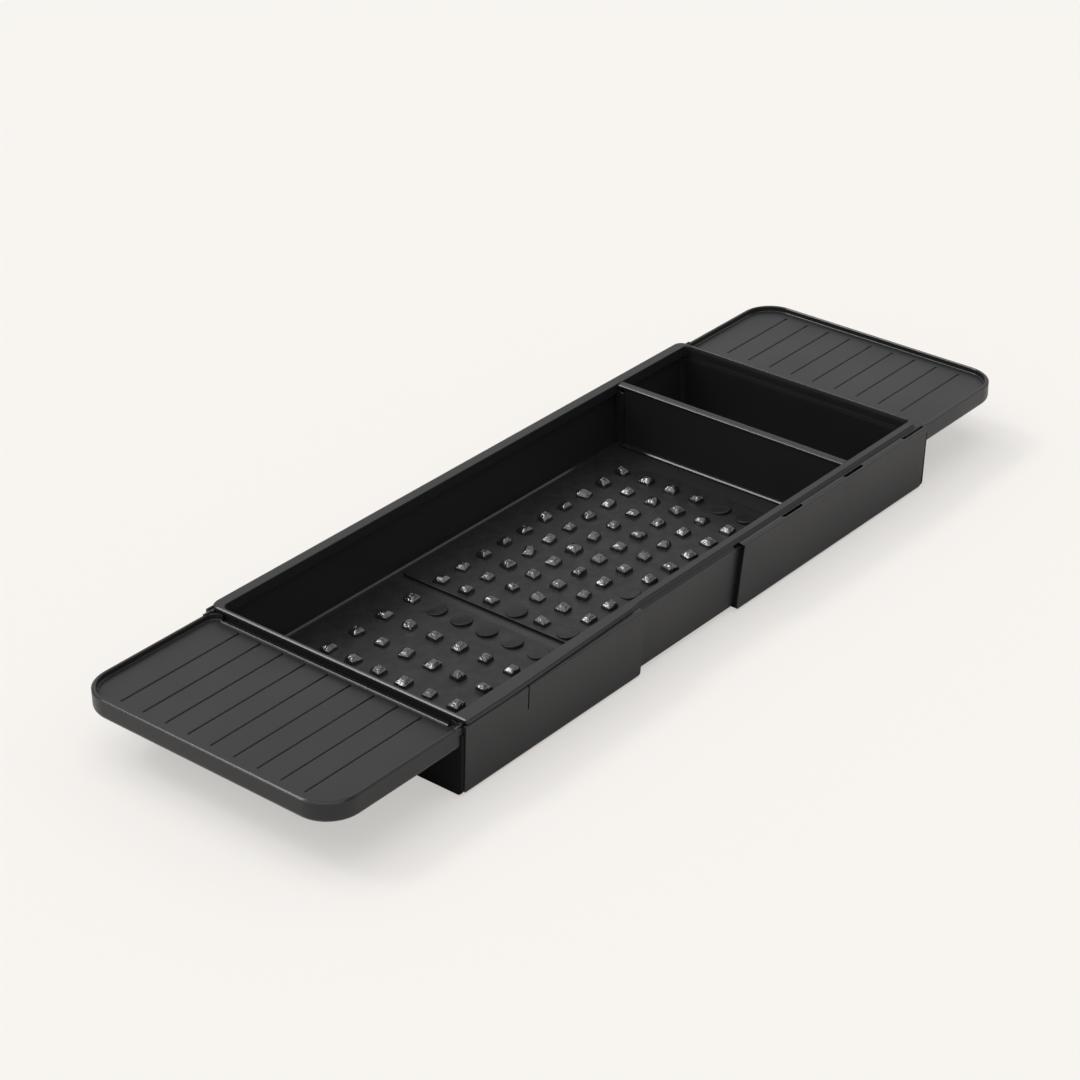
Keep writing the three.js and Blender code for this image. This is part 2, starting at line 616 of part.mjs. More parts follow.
// A low disc, in place of a stud.
function lowDisc(x, y, top) {
  return disc(x, y, DISC_RADIUS, top - NEAR_MAT_THICKNESS / 2, top + DISC_HEIGHT, DISC_SIDES);
}

// A mat's plain sheet.
function sheet(from, to, thickness) {
  const base = TRAY_FLOOR_TOP + SEAT_GAP;
  return upright(roundedPlan(from, to, MAT_SIDE, MAT_CORNER_RADIUS), base, base + thickness);
}

function nearMat() {
  const top = TRAY_FLOOR_TOP + SEAT_GAP + NEAR_MAT_THICKNESS;
  const columns = fitting(NEAR_STUD_START, NEAR_MAT_END - STUD_FROM_EDGE, NEAR_STUD_PITCH);
  const raised = [];
  for (let row = 0; row < STUD_ROWS; row++) {
    const outermost = row === 0 || row === STUD_ROWS - 1;
    for (let column = 0; column < columns; column++) {
      // The last column is of low discs, but for its two ends.
      const low = column === columns - 1 && !outermost;
      raised.push((low ? lowDisc : stud)(NEAR_STUD_START + column * NEAR_STUD_PITCH, rowAt(row), top));
    }
  }
  return wasm.Manifold.union([sheet(FLOOR_START + MAT_MARGIN, NEAR_MAT_END, NEAR_MAT_THICKNESS), ...raised]);
}

function mainMat() {
  const top = TRAY_FLOOR_TOP + SEAT_GAP + MAIN_MAT_THICKNESS;
  const columns = fitting(MAIN_STUD_START, MAIN_MAT_END - STUD_FROM_EDGE, MAIN_STUD_PITCH);
  const raised = [];
  for (let row = 0; row < STUD_ROWS; row++) {
    for (let column = 0; column < columns; column++) {
      const low = DISC_PLACES.some(([c, r]) => c === column && r === row);
      raised.push((low ? lowDisc : stud)(MAIN_STUD_START + column * MAIN_STUD_PITCH, rowAt(row), top));
    }
  }
  return wasm.Manifold.union([sheet(MAIN_MAT_START, MAIN_MAT_END, MAIN_MAT_THICKNESS), ...raised]);
}

// One wing: a shallow pan with a raised edge, a leg down the sleeve's end and two arms along it.
function wing({ end, out, reach, grooveStart, grooveStop }) {
  const at = (outwards) => end + out * outwards;
  // Plan with two round outer corners, drawn in by an inset on the three free sides.
  const plan = (inner, inset, radius = WING_CORNER_RADIUS) => {
    const side = WING_SIDE - inset;
    const round = radius - inset;
    return [
      [inner, -side],
      ...arc(reach - radius, radius - WING_SIDE, round, 3, 4, WIDE_ARC_STEPS),
      ...arc(reach - radius, WING_SIDE - radius, round, 0, 1, WIDE_ARC_STEPS),
      [inner, side],
    ].map(([u, y]) => [at(u), y]);
  };
  const seat = SEAT_GAP;
  const overEnd = -(SLEEVE_END_WALL + SEAT_GAP);
  const edge = Array.from({ length: SMALL_ARC_STEPS + 1 }, (_, i) => {
    const angle = (i / SMALL_ARC_STEPS) * (Math.PI / 2);
    const inset = WING_EDGE_RADIUS * (1 - Math.sin(angle));
    return { z: WING_UNDERSIDE + WING_EDGE_RADIUS * (1 - Math.cos(angle)), plan: plan(seat, inset) };
  });
  const rim = [
    { z: WING_TOP - WING_TOP_RADIUS, plan: plan(seat, 0) },
    { z: WING_TOP - WING_TOP_RADIUS / 3, plan: plan(seat, WING_TOP_RADIUS / 3) },
    { z: WING_TOP, plan: plan(seat, WING_TOP_RADIUS) },
  ];
  let body = stacked([...edge, ...rim]);
  // Between the sleeve's flanges, the plate runs on over the end wall.
  const overSide = FLANGE_SIDE - RUNNING_GAP;
  body = body.add(
    stacked(
      [
        [PLATE_UNDERSIDE, 0],
        [WING_TOP - WING_TOP_RADIUS, 0],
        [WING_TOP, WING_TOP_RADIUS],
      ].map(([z, inset]) => ({
        z,
        plan: [
          [at(overEnd), inset - overSide],
          [at(seat + WING_SKIRT), inset - overSide],
          [at(seat + WING_SKIRT), overSide - inset],
          [at(overEnd), overSide - inset],
        ],
      })),
    ),
  );

  // Hollow above the plate.
  const recessInner = overEnd + WING_BEAD_WIDTH;
  const recessSide = WING_SIDE - WING_LIP_WIDTH;
  const outerRound = WING_CORNER_RADIUS - WING_LIP_WIDTH;
  const innerAt = [recessInner + WING_INNER_RADIUS, recessSide - WING_INNER_RADIUS];
  const outerAt = [reach - WING_CORNER_RADIUS, WING_SIDE - WING_CORNER_RADIUS];
  const recess = (inset) =>
    [
      ...arc(innerAt[0], -innerAt[1], WING_INNER_RADIUS - inset, 2, 3),
      ...arc(outerAt[0], -outerAt[1], outerRound - inset, 3, 4, WIDE_ARC_STEPS),
      ...arc(...outerAt, outerRound - inset, 0, 1, WIDE_ARC_STEPS),
      ...arc(...innerAt, WING_INNER_RADIUS - inset, 1, 2),
    ].map(([u, y]) => [at(u), y]);
  body = body.subtract(
    stacked([
      { z: PLATE_TOP, plan: recess(WING_TOP_RADIUS) },
      { z: PLATE_TOP + WING_TOP_RADIUS, plan: recess(0) },
      { z: WING_TOP + OVERRUN, plan: recess(-WING_TOP_RADIUS) },
    ]),
  );
  const beadSide = recessSide - WING_INNER_RADIUS;
  const beadTop = PLATE_TOP + WING_BEAD_HEIGHT;
  const beadSpan = [at(overEnd - OVERRUN), at(recessInner + WING_TOP_RADIUS)];
  body = body.subtract(block(...beadSpan, -beadSide, beadSide, beadTop, WING_TOP + OVERRUN));

  // Hollow under the plate.
  const underRound = WING_CORNER_RADIUS - WING_SKIRT;
  const under = [
    [seat + LEG_THICKNESS, WING_SKIRT - WING_SIDE],
    ...arc(outerAt[0], -outerAt[1], underRound, 3, 4),
    ...arc(...outerAt, underRound, 0, 1),
    [seat + LEG_THICKNESS, WING_SIDE - WING_SKIRT],
  ].map(([u, y]) => [at(u), y]);
  body = body.subtract(upright(under, WING_UNDERSIDE - OVERRUN, PLATE_UNDERSIDE));

  // Leg down the sleeve's end wall.
  const foot = SLEEVE_UNDERSIDE + LEG_CLEAR;
  const footSide = leaning(SLEEVE_SIDE, foot) - LEG_INSET;
  const kneeSide = leaning(SLEEVE_SIDE, WING_UNDERSIDE) - LEG_INSET;
  const leg = mirrored([
    ...arc(footSide - LEG_INSET, foot + LEG_INSET, LEG_INSET, -1, 0, SMALL_ARC_STEPS),
    [kneeSide, PLATE_UNDERSIDE + WING_PLATE / 2],
  ]);
  const legSpan = [at(seat), at(seat + LEG_THICKNESS)].sort((a, b) => a - b);
  body = body.add(alongX(leg, ...legSpan));

  for (const side of [1, -1]) {
    // Arm in the notch of the sleeve's flange, and its root in the wing's raised edge.
    const armFrom = side * (WINDOW_SIDE - ARM_WIDTH / 2);
    const armTo = side * (WINDOW_SIDE + ARM_WIDTH / 2);
    const armLow = FLANGE_UNDERSIDE + SEAT_GAP;
    const armTip = at(overEnd - ARM_LENGTH);
    const armTop = armLow + ARM_THICKNESS;
    body = body.add(block(armTip, at(ARM_ROOT), armFrom, armTo, armLow, armTop));
    body = body.add(block(at(seat), at(ARM_ROOT), armFrom, armTo, PLATE_TOP, armTop));
    // Gusset between the leg and the plate.
    const gussetAt = SLEEVE_SIDE - GUSSET_FROM_SIDE;
    const gusset = [
      [at(seat + LEG_THICKNESS / 2), PLATE_UNDERSIDE + WING_PLATE / 2],
      [at(seat + LEG_THICKNESS + GUSSET_REACH), PLATE_UNDERSIDE + WING_PLATE / 2],
      [at(seat + LEG_THICKNESS + GUSSET_REACH), PLATE_UNDERSIDE - STRIP_RIB],
      [at(seat + LEG_THICKNESS / 2), PLATE_UNDERSIDE - GUSSET_DROP],
    ];
    body = body.add(acrossY(gusset, GUSSET_THICKNESS / 2).translate([0, side * gussetAt, 0]));
    // Boss for the screw.
    const on = screwAxis(end, out, side * SCREW_AT);
    body = body.add(on(BOSS_RADIUS, seat + LEG_THICKNESS / 2, seat + BOSS_LENGTH));
    body = body.subtract(on(SCREW_RADIUS + SCREW_GAP, -OVERRUN, SCREW_LENGTH - SLEEVE_END_WALL + SCREW_GAP));
  }

  // Pairs of ribs that grip the rubber strips.
  for (const middle of stripPlaces(reach)) {
    for (const face of [1, -1]) {
      const ribNear = middle + face * (STRIP_WIDTH / 2 + SEAT_GAP);
      const ribFar = ribNear + face * STRIP_RIB;
      const zSpan = [WING_UNDERSIDE + STRIP_RIB_CLEAR, PLATE_UNDERSIDE + WING_PLATE / 2];
      body = body.add(block(at(ribNear), at(ribFar), -STRIP_SIDE, STRIP_SIDE, ...zSpan));
    }
  }

  // Grooves in the plate, clear of its round corners.
  const grooves = fittingAcross(WING_SIDE - WING_CORNER_RADIUS, GROOVE_PITCH);
  for (let i = 0; i < grooves; i++) {
    const y = (i - (grooves - 1) / 2) * GROOVE_PITCH;
    const half = GROOVE_WIDTH / 2;
    const zSpan = [PLATE_TOP - GROOVE_DEPTH, PLATE_TOP + OVERRUN];
    body = body.subtract(block(at(grooveStart), at(reach - grooveStop), y - half, y + half, ...zSpan));
  }
  return body;
}

const stripPlaces = (reach) => STRIP_PLACE_SHARES.map((share) => share * reach);

// Rubber strip under a wing.
function strip(end, out, middle) {
  const x = end + out * middle;
  const half = STRIP_WIDTH / 2;
  const low = WING_UNDERSIDE - STRIP_PROUD;
  const outline = [
    [x - half + STRIP_EDGE, low],
    [x + half - STRIP_EDGE, low],
    [x + half, low + STRIP_EDGE],
    [x + half, PLATE_UNDERSIDE - SEAT_GAP],
    [x - half, PLATE_UNDERSIDE - SEAT_GAP],
    [x - half, low + STRIP_EDGE],
  ];
  return acrossY(outline, STRIP_SIDE);
}

const foot = (x, y) => disc(x, y, FOOT_RADIUS, 0, SLEEVE_UNDERSIDE + FOOT_RECESS - SEAT_GAP);

// Satin black plastic for every moulding, softer black rubber for mats, strips and feet.
const mouldedBlack = () => new THREE.MeshStandardMaterial({ color: 0x2b2b2c, roughness: 0.5, metalness: 0 });
const rubberBlack = () => new THREE.MeshStandardMaterial({ color: 0x1d1d1e, roughness: 0.35, metalness: 0 });
const screwSteel = () => new THREE.MeshStandardMaterial({ color: 0xb9bbbd, roughness: 0.3, metalness: 1 });

const caddy = new THREE.Group();
const middle = (BODY_LENGTH + FAR_WING_REACH - NEAR_WING_REACH) / 2;
caddy.position.x = -middle;

caddy.add(piece("tray", tray(), mouldedBlack()));
caddy.add(piece("divider", divider(), mouldedBlack()));
caddy.add(piece("near_stud_mat", nearMat(), rubberBlack()));
caddy.add(piece("main_stud_mat", mainMat(), rubberBlack()));

const ends = [
  {
    name: "near",
    end: 0,
    out: -1,
    length: NEAR_SLEEVE_LENGTH,
    windows: [1],
    slit: true,
    reach: NEAR_WING_REACH,
    grooveStart: NEAR_GROOVE_START,
    grooveStop: NEAR_GROOVE_STOP,
  },
  {
    name: "far",
    end: BODY_LENGTH,
    out: 1,
    length: FAR_SLEEVE_LENGTH,
    windows: [1, 2],
    slit: false,
    reach: FAR_WING_REACH,
    grooveStart: FAR_GROOVE_START,
    grooveStop: FAR_GROOVE_STOP,
  },
];

for (const side of ends) {
  const { name, end, out, length, reach } = side;
  const carried = new THREE.Group();
  carried.add(piece(name + "_sleeve", sleeve(side), mouldedBlack()));
  carried.add(piece(name + "_wing", wing(side), mouldedBlack()));
  for (const [label, y] of [
    ["left", SCREW_AT],
    ["right", -SCREW_AT],
  ]) {
    carried.add(piece(name + "_wing_screw_" + label, screw(end, out, y), screwSteel()));
  }
  stripPlaces(reach).forEach((place, i) => {
    const label = ["inner", "outer"][i];
    carried.add(piece(name + "_grip_strip_" + label, strip(end, out, place), rubberBlack()));
  });
  footPlaces(end, out, length).forEach(([x, y], i) => {
    const label = ["end_left", "end_right", "mouth_left", "mouth_right"][i];
    carried.add(piece(name + "_foot_" + label, foot(x, y), rubberBlack()));
  });
  caddy.add(carried);
}

export default caddy;
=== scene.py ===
import math

import bmesh
import bpy
import numpy as np
from mathutils import Matrix, Vector


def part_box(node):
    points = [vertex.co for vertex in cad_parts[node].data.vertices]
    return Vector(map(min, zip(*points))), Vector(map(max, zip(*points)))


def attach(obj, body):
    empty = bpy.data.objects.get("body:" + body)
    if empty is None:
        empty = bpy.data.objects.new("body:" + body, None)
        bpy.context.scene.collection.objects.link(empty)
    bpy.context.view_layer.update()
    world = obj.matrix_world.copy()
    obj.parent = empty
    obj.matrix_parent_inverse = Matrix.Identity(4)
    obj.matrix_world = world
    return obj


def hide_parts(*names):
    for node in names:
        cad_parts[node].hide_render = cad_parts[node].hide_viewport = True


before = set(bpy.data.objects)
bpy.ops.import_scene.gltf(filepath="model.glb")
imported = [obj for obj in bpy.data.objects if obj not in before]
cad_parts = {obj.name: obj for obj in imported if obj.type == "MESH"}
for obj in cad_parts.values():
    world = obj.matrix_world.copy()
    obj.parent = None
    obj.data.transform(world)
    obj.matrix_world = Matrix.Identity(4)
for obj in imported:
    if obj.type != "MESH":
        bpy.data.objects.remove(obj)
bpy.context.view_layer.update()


# Tray.
# One long injection moulding in black ABS, which everything else hangs on. Its mould was
# spark-eroded to a fine even grain, so the plastic has a soft satin sheen and no gloss.

MM = 0.001
EDGE_WIDTH = 1.35  # a narrower face beside a bend is a polished edge
EDGE_BEND = 0.09  # the least bend that counts, in radians
near_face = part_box("near_sleeve")[0][0] / MM  # the near sleeve's outer end face
body_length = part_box("far_sleeve")[1][0] / MM - near_face
sleeve_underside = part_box("near_sleeve")[0][2] / MM
sleeve_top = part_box("near_sleeve")[1][2] / MM
sleeve_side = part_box("near_sleeve")[1][1] / MM
near_sleeve_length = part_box("near_sleeve")[1][0] / MM - near_face
far_sleeve_length = 181.5
lip_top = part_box("tray")[1][2] / MM
tray_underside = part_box("tray")[0][2] / MM
draft = 0.058  # lean of every side wall, per millimetre of height
tray_start = 3.0
tray_end = body_length - tray_start
tray_side = 86.9
tray_wall = 2.4
tray_end_wall = 1.8
upper_side = 84.1  # outer face of the wall above the rail
throat_side = 81.9  # its inner face
rail_top = 39.5
rail_thickness = 2.2
lip_underside = 41.75  # just clear of the sleeves' flanges
lip_side = 89.3  # outer edge of the wide lip over the near sleeve
lip_mouth_side = 85.9  # the wide lip's outer edge at that sleeve's mouth
lip_inner = 81.4
lip_overhang = 1.5
lip_bead = 0.5  # the narrow lip stands this far out of the wall
floor_top = tray_underside + 1.5
catch_at = 13.0  # middle of a catch, from a sleeve's closed end
divider_at = (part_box("divider")[0][0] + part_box("divider")[1][0]) / 2 / MM - near_face


def linear(code):
    """The linear colour of an sRGB hex code: each channel is ((c + 0.055) / 1.055) ** 2.4."""
    channels = np.array([int(code[i : i + 2], 16) for i in (1, 3, 5)]) / 255
    return (*(((channels + 0.055) / 1.055) ** 2.4), 1.0)


def add(tree, kind, settings=None, inputs=None):
    """A new node with its settings, and its inputs either linked from a socket or set to a value."""
    node = tree.nodes.new(kind)
    for key, value in (settings or {}).items():
        setattr(node, key, value)
    for key, value in (inputs or {}).items():
        if isinstance(value, bpy.types.NodeSocket):
            tree.links.new(value, node.inputs[key])
        else:
            node.inputs[key].default_value = value
    return node


def new_material(name):
    """A node material, with its tree, its shader and the point of the surface in object space."""
    material = bpy.data.materials.new(name)
    material.use_nodes = True
    tree = material.node_tree
    tree.nodes.clear()
    place = add(tree, "ShaderNodeTexCoord").outputs["Object"]
    shader = add(tree, "ShaderNodeBsdfPrincipled")
    add(tree, "ShaderNodeOutputMaterial", None, {"Surface": shader.outputs["BSDF"]})
    return material, tree, place, shader.inputs


def satin_plastic(name, colour, roughness, polish, specular):
    """ABS from a spark-eroded mould: an even grain, and broad faint changes of sheen.

    Narrow faces beside a bend carry the attribute "edge": handling has made them smoother.
    """
    material, tree, place, shader = new_material(name)
    # The blots of sheen are 45 mm wide. The real grain is nearer 0.1 mm and would be too fine to
    # show, so it is drawn 0.7 mm wide.
    sheen = add(tree, "ShaderNodeTexNoise", None, {"Vector": place, "Scale": 1 / (45 * MM)})
    grain = add(tree, "ShaderNodeTexNoise", None, {"Vector": place, "Scale": 1 / (0.7 * MM)})
    limits = {"Value": sheen.outputs["Fac"], "From Min": 0.3, "From Max": 0.7}
    limits |= {"To Min": roughness - 0.04, "To Max": roughness + 0.04}
    broad = add(tree, "ShaderNodeMapRange", None, limits)
    edge = add(tree, "ShaderNodeAttribute", {"attribute_name": "edge"})
    limits = {"Value": edge.outputs["Fac"], "To Min": broad.outputs["Result"], "To Max": polish}
    rough = add(tree, "ShaderNodeMapRange", None, limits)
    depth = {"Height": grain.outputs["Fac"], "Strength": 0.2, "Distance": 0.02 * MM}
    bump = add(tree, "ShaderNodeBump", None, depth)
    shader["Base Color"].default_value = linear(colour)
    shader["IOR"].default_value = 1.53
    shader["Specular IOR Level"].default_value = specular
    tree.links.new(rough.outputs["Result"], shader["Roughness"])
    tree.links.new(bump.outputs["Normal"], shader["Normal"])
    return material


def arc(x, y, radius, start, end, steps=6):
    """Points (x + r cos a, y + r sin a) for steps + 1 angles a from start to end, in quarter turns."""
    angle = np.linspace(start, end, steps + 1) * math.pi / 2
    return np.stack([x + radius * np.cos(angle), y + radius * np.sin(angle)], axis=1)


def bend(before, here, after, radius, steps, tail=None):
    """A corner rounded by the curve (1-t)^2 A + 2t(1-t) C + t^2 B.

    A and B lie on the two straight runs, one radius from the corner C. Lengths are measured in
    the last columns only, where tail says how many.
    """
    t = np.linspace(0, 1, steps + 1)[:, None]
    ends = []
    for other in (before, after):
        reach = np.linalg.norm((other - here)[-tail:] if tail else other - here)
        ends.append(here + (other - here) * min(radius / max(reach, 1e-6), 0.48))
    return (1 - t) ** 2 * ends[0] + 2 * t * (1 - t) * here + t**2 * ends[1]


def softened(rows, radii, steps=3, tail=None):
    """An open path through rows of sizes, with its inner corners rounded."""
    rows = np.asarray(rows, float)
    inner = [
        bend(a, b, c, radius, steps, tail)
        for a, b, c, radius in zip(rows, rows[1:], rows[2:], radii[1:-1])
    ]
    return np.concatenate([rows[:1], *inner, rows[-1:]])


def rounded(corners, radius, steps=3):
    """A closed outline with each of its corners rounded."""
    corners = np.asarray(corners, float)
    radii = np.broadcast_to(radius, len(corners))
    sides = zip(np.roll(corners, 1, axis=0), corners, np.roll(corners, -1, axis=0), radii)
    return np.concatenate([bend(a, b, c, r, steps) for a, b, c, r in sides])


def drawn_in(outline, distance):
    """A closed outline moved inwards: each point along the mean of its two edges' normals."""
    area = np.sum(outline[:, 0] * np.roll(outline[:, 1], -1) - np.roll(outline[:, 0], -1) * outline[:, 1])
    after = np.roll(outline, -1, axis=0) - outline
    normal = np.stack([-after[:, 1], after[:, 0]], axis=1) * np.sign(area)
    normal /= np.maximum(np.linalg.norm(normal, axis=1), 1e-9)[:, None]
    both = normal + np.roll(normal, 1, axis=0)
    scale = np.maximum((both * normal).sum(axis=1), 0.5)
    return outline + distance * both / scale[:, None]


def skin(rings):
    """A closed surface over rings of points: quads from ring to ring, and a face over each end."""
    rings = np.asarray(rings, float)
    count, around = rings.shape[:2]
    index = np.arange(count * around).reshape(count, around)
    turned = np.roll(index, -1, axis=1)
    quads = np.stack([index[:-1], turned[:-1], turned[1:], index[1:]], axis=-1).reshape(-1, 4)
    return rings.reshape(-1, 3), [*quads.tolist(), index[0].tolist(), index[-1].tolist()]


def prism(outline, start, end, radius, order):
    """A solid over a closed outline, from one depth to another, with rounded rims.

    At r (1 - cos a) from either end the outline is drawn in by r (1 - sin a). `order` names the
    axes of the outline's two columns and of the depth, such as "xzy".
    """
    turn = np.linspace(0, math.pi / 2, 4)
    depth = [*(start + radius * (1 - np.cos(turn))), *(end - radius * (1 - np.cos(turn[::-1])))]
    inset = [*(radius * (1 - np.sin(turn))), *(radius * (1 - np.sin(turn[::-1])))]
    columns = [order.index(axis) for axis in "xyz"]
    rings = []
    for d, i in zip(depth, inset):
        flat = drawn_in(np.asarray(outline, float), i)
        rings.append(np.column_stack([flat, np.full(len(flat), d)])[:, columns])
    return skin(rings)


def box_outline(x0, x1, y0, y1, radius):
    """A rectangle with rounded corners."""
    return rounded([(x0, y0), (x1, y0), (x1, y1), (x0, y1)], radius)


def slab(low, high, radius=0.3):
    """A block between two opposite corners with rounded edges."""
    (x0, x1), (y0, y1), (z0, z1) = (sorted(pair) for pair in zip(low, high))
    return prism(box_outline(x0, x1, y0, y1, radius * 1.4), z0, z1, radius, "xyz")


def new_piece(name, shells, materials, sharp=40):
    """An object of closed shells, given in millimetres from the near end face.

    A shell is its points, its faces and, where it isn't the first, its material's number. Edges
    over `sharp` degrees stay crisp, and broad faces keep their own normals beside round edges.
    """
    points, faces, slots, start = [], [], [], 0
    for verts, polygons, *slot in shells:
        points.append(np.asarray(verts))
        faces += [[i + start for i in face] for face in polygons]
        slots += (slot or [0]) * len(polygons)
        start += len(verts)
    place = (np.concatenate(points) + [near_face, 0, 0]) * MM
    mesh = bpy.data.meshes.new(name)
    mesh.from_pydata(place.tolist(), [], faces)
    mesh.polygons.foreach_set("material_index", slots)
    shape = bmesh.new()
    shape.from_mesh(mesh)
    bmesh.ops.remove_doubles(shape, verts=shape.verts, dist=0.004 * MM)
    bmesh.ops.recalc_face_normals(shape, faces=shape.faces)
    edge = []
    for face in shape.faces:
        longest = max(side.calc_length() for side in face.edges)
        turned = [side.calc_face_angle(0) for side in face.edges if side.calc_length() > 0.6 * longest]
        edge.append(float(face.calc_area() < EDGE_WIDTH * MM * longest and max(turned) > EDGE_BEND))
    shape.to_mesh(mesh)
    shape.free()
    mesh.attributes.new("edge", "FLOAT", "FACE").data.foreach_set("value", edge)
    for material in materials:
        mesh.materials.append(material)
    mesh.shade_smooth()
    mesh.set_sharp_from_angle(angle=math.radians(sharp))
    piece = bpy.data.objects.new(name, mesh)
    bpy.context.scene.collection.objects.link(piece)
    weigh = piece.modifiers.new("flat faces", "WEIGHTED_NORMAL")
    weigh.keep_sharp = True
    return piece


def leaning(side, z):
    """Half width at height z of a leaning wall whose half width at the sleeves' top is given."""
    return side - draft * (sleeve_top - z)


def tray_ring(start, end, near_front, mouth_front, far_front, corner, rear, z):
    """The tray's outline at one height, with the slant in its front where the wide lip ends.

    Its front runs straight to the near end, narrows from there to the near sleeve's mouth and
    steps in just past it. The front's near corner is nearly square.
    """
    square = min(corner, 1.5)
    step = near_sleeve_length
    loop = np.concatenate(
        [
            arc(end - corner, rear - corner, corner, 0, 1),
            arc(start + corner, rear - corner, corner, 1, 2),
            arc(start + square, near_front + square, square, 2, 3),
            [(30, near_front), (step - 6, mouth_front), (step - 5, mouth_front + 0.1), (step + 2, far_front)],
            arc(end - corner, far_front + corner, corner, 3, 4),
        ]
    )
    return np.column_stack([loop, np.full(len(loop), z)])


black_plastic = satin_plastic("black_plastic", "#222223", 0.4, 0.16, 0.29)
# The same ABS, rougher, on the legs, the end walls and the ribs. It is made darker and given a weak
# reflection: painted shade for these parts under the wings.
dull_painted_shade_plastic = satin_plastic("dull_painted_shade_plastic", "#1c1c1d", 0.65, 0.65, 0.05)

# Each row is a ring: its start and end, its front (at the near end, at the near sleeve's mouth and
# past it), its corners' radius, its rear, its height, and how round the edge there is. The rings run
# up the outside, over the lip and down the inside.
outside = leaning(tray_side, tray_underside)
shoulder = leaning(tray_side, rail_top)
ceiling = rail_top - rail_thickness
wall_top, wall_middle, wall_foot = (
    leaning(tray_side - tray_wall, z) for z in (ceiling, ceiling - 3, floor_top)
)
inner_start, inner_end = tray_start + tray_end_wall, tray_end - tray_end_wall
lip_start, lip_end = tray_start - lip_overhang, tray_end + lip_bead
lip_rear, lip_front = 88.5, lip_inner - 0.6  # the rear's outer edge and the front's inner edge
lip_edge = np.array([lip_side, lip_mouth_side, upper_side + lip_bead])  # the front's outer edge
lip_foot = lip_edge + [0.4, 0.5, 1.0]  # and its foot, for its side slants
tray_rows = [
    (tray_start + 4, tray_end - 4, *(3 * [4 - outside]), 1, outside - 4, tray_underside, 0),
    (tray_start, tray_end, *(3 * [-outside]), 1, outside, tray_underside, 2),
    (tray_start, tray_end, *(3 * [-shoulder]), 1, shoulder, rail_top, 0.35),
    (tray_start, tray_end, *(3 * [-upper_side]), 1, upper_side, rail_top, 0.2),
    (tray_start, tray_end, *(3 * [-upper_side]), 1, upper_side, lip_underside, 0.2),
    (lip_start, lip_end, *(-lip_foot), 5, lip_rear, lip_underside, 0.15),
    (lip_start, lip_end, *(-lip_edge), 5, lip_rear, lip_top - 0.55, 0.03),
    (lip_start + 0.8, lip_end - 0.3, *(0.4 - lip_edge), 5, lip_rear - 0.4, lip_top, 0.03),
    (inner_start - 1.5, inner_end + 2.1, *(3 * [0.4 - lip_front]), 4, lip_inner + 0.7, lip_top, 0.1),
    (inner_start - 0.9, inner_end + 1.5, *(3 * [0.1 - lip_front]), 4, lip_inner + 0.5, lip_top - 0.4, 0.1),
    (inner_start - 0.5, inner_end + 1.2, *(3 * [-lip_front]), 4, lip_inner + 0.5, lip_top - 1, 0.1),
    (inner_start, inner_end + 0.8, *(3 * [-throat_side]), 4, throat_side, lip_top - 2.6, 0.1),
    (inner_start + 0.1, inner_end + 0.5, *(3 * [-throat_side]), 4, throat_side, ceiling, 0.1),
    (inner_start + 0.2, inner_end + 0.45, *(3 * [-wall_top]), 4, wall_top, ceiling - 0.1, 0.3),
    (inner_start + 0.25, inner_end - 0.1, *(3 * [-wall_middle]), 4, wall_middle, ceiling - 3, 0.3),
    (inner_start + 1, inner_end - 1, *(3 * [-wall_foot]), 4, wall_foot, floor_top, 2.5),
    (inner_start + 7, inner_end - 7, *(3 * [6 - wall_foot]), 1, wall_foot - 6, floor_top, 0),
]
tray_path = softened([row[:-1] for row in tray_rows], [row[-1] for row in tray_rows], 3, 2)
tray_shells = [skin([tray_ring(*row) for row in tray_path])]

# On each side: two upright ribs that hold the divider, two catches on the rail, and the slanting
# rib that fills the channel over the rail between the sleeves' mouths.
guide_faces = np.array([1.35, 2.95])  # faces of an upright rib, from the divider's middle
catch_reach = 7.5  # half of its length
mouth_rib = np.array([(84, 42.2), (84.7, 42), (86.75, 39.55), (86.75, 39.2), (84, 39.2)])
mouth_rib_ends = near_sleeve_length + 0.4, body_length - far_sleeve_length - 0.4
for side in (1, -1):
    for face in (1, -1):
        near, far = divider_at + face * guide_faces
        low, high = (near, side * 77.2, floor_top - 0.5), (far, side * 83.2, rail_top - 0.4)
        tray_shells.append(slab(low, high))
    for middle in (catch_at, body_length - catch_at):
        low = (middle - catch_reach, side * 85.65, rail_top - 1)
        high = (middle + catch_reach, side * 86.65, rail_top + 0.25)
        tray_shells.append(slab(low, high, 0.2))
    tray_shells.append(prism(mouth_rib[::side] * [side, 1], *mouth_rib_ends, 0.15, "yzx"))

tray = new_piece("tray_moulding", tray_shells, [black_plastic], 30)
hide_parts("tray")
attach(tray, "tray_body")


# Divider.
# A lift-out panel in the same plastic, with a wide top to hold it by and a foot that lies on the
# floor. Its two ends stand in the tray's upright grooves.

SEAT_GAP = 0.25  # between pieces that are glued, pressed or stood on each other
divider_foot = floor_top + SEAT_GAP
divider_side = 76.9  # between the ribs that hold it
divider_top_ends = -80.1, 81.15
divider_top = [(2.7, lip_top - 2), (2.7, lip_top - 0.9), (1.7, lip_top - 0.15), (1.2, lip_top)]
divider_face = [(2.35, divider_foot + 1.5), (2.35, lip_top - 1.9)]
divider_step = [(5.2, divider_foot), (5.2, divider_foot + 0.9), (4.4, divider_foot + 1.5)]


def both_ways(half):
    """A closed outline in x and z, from half of it and its mirror image about the divider."""
    return [(divider_at + x, z) for x, z in half] + [(divider_at - x, z) for x, z in reversed(half)]


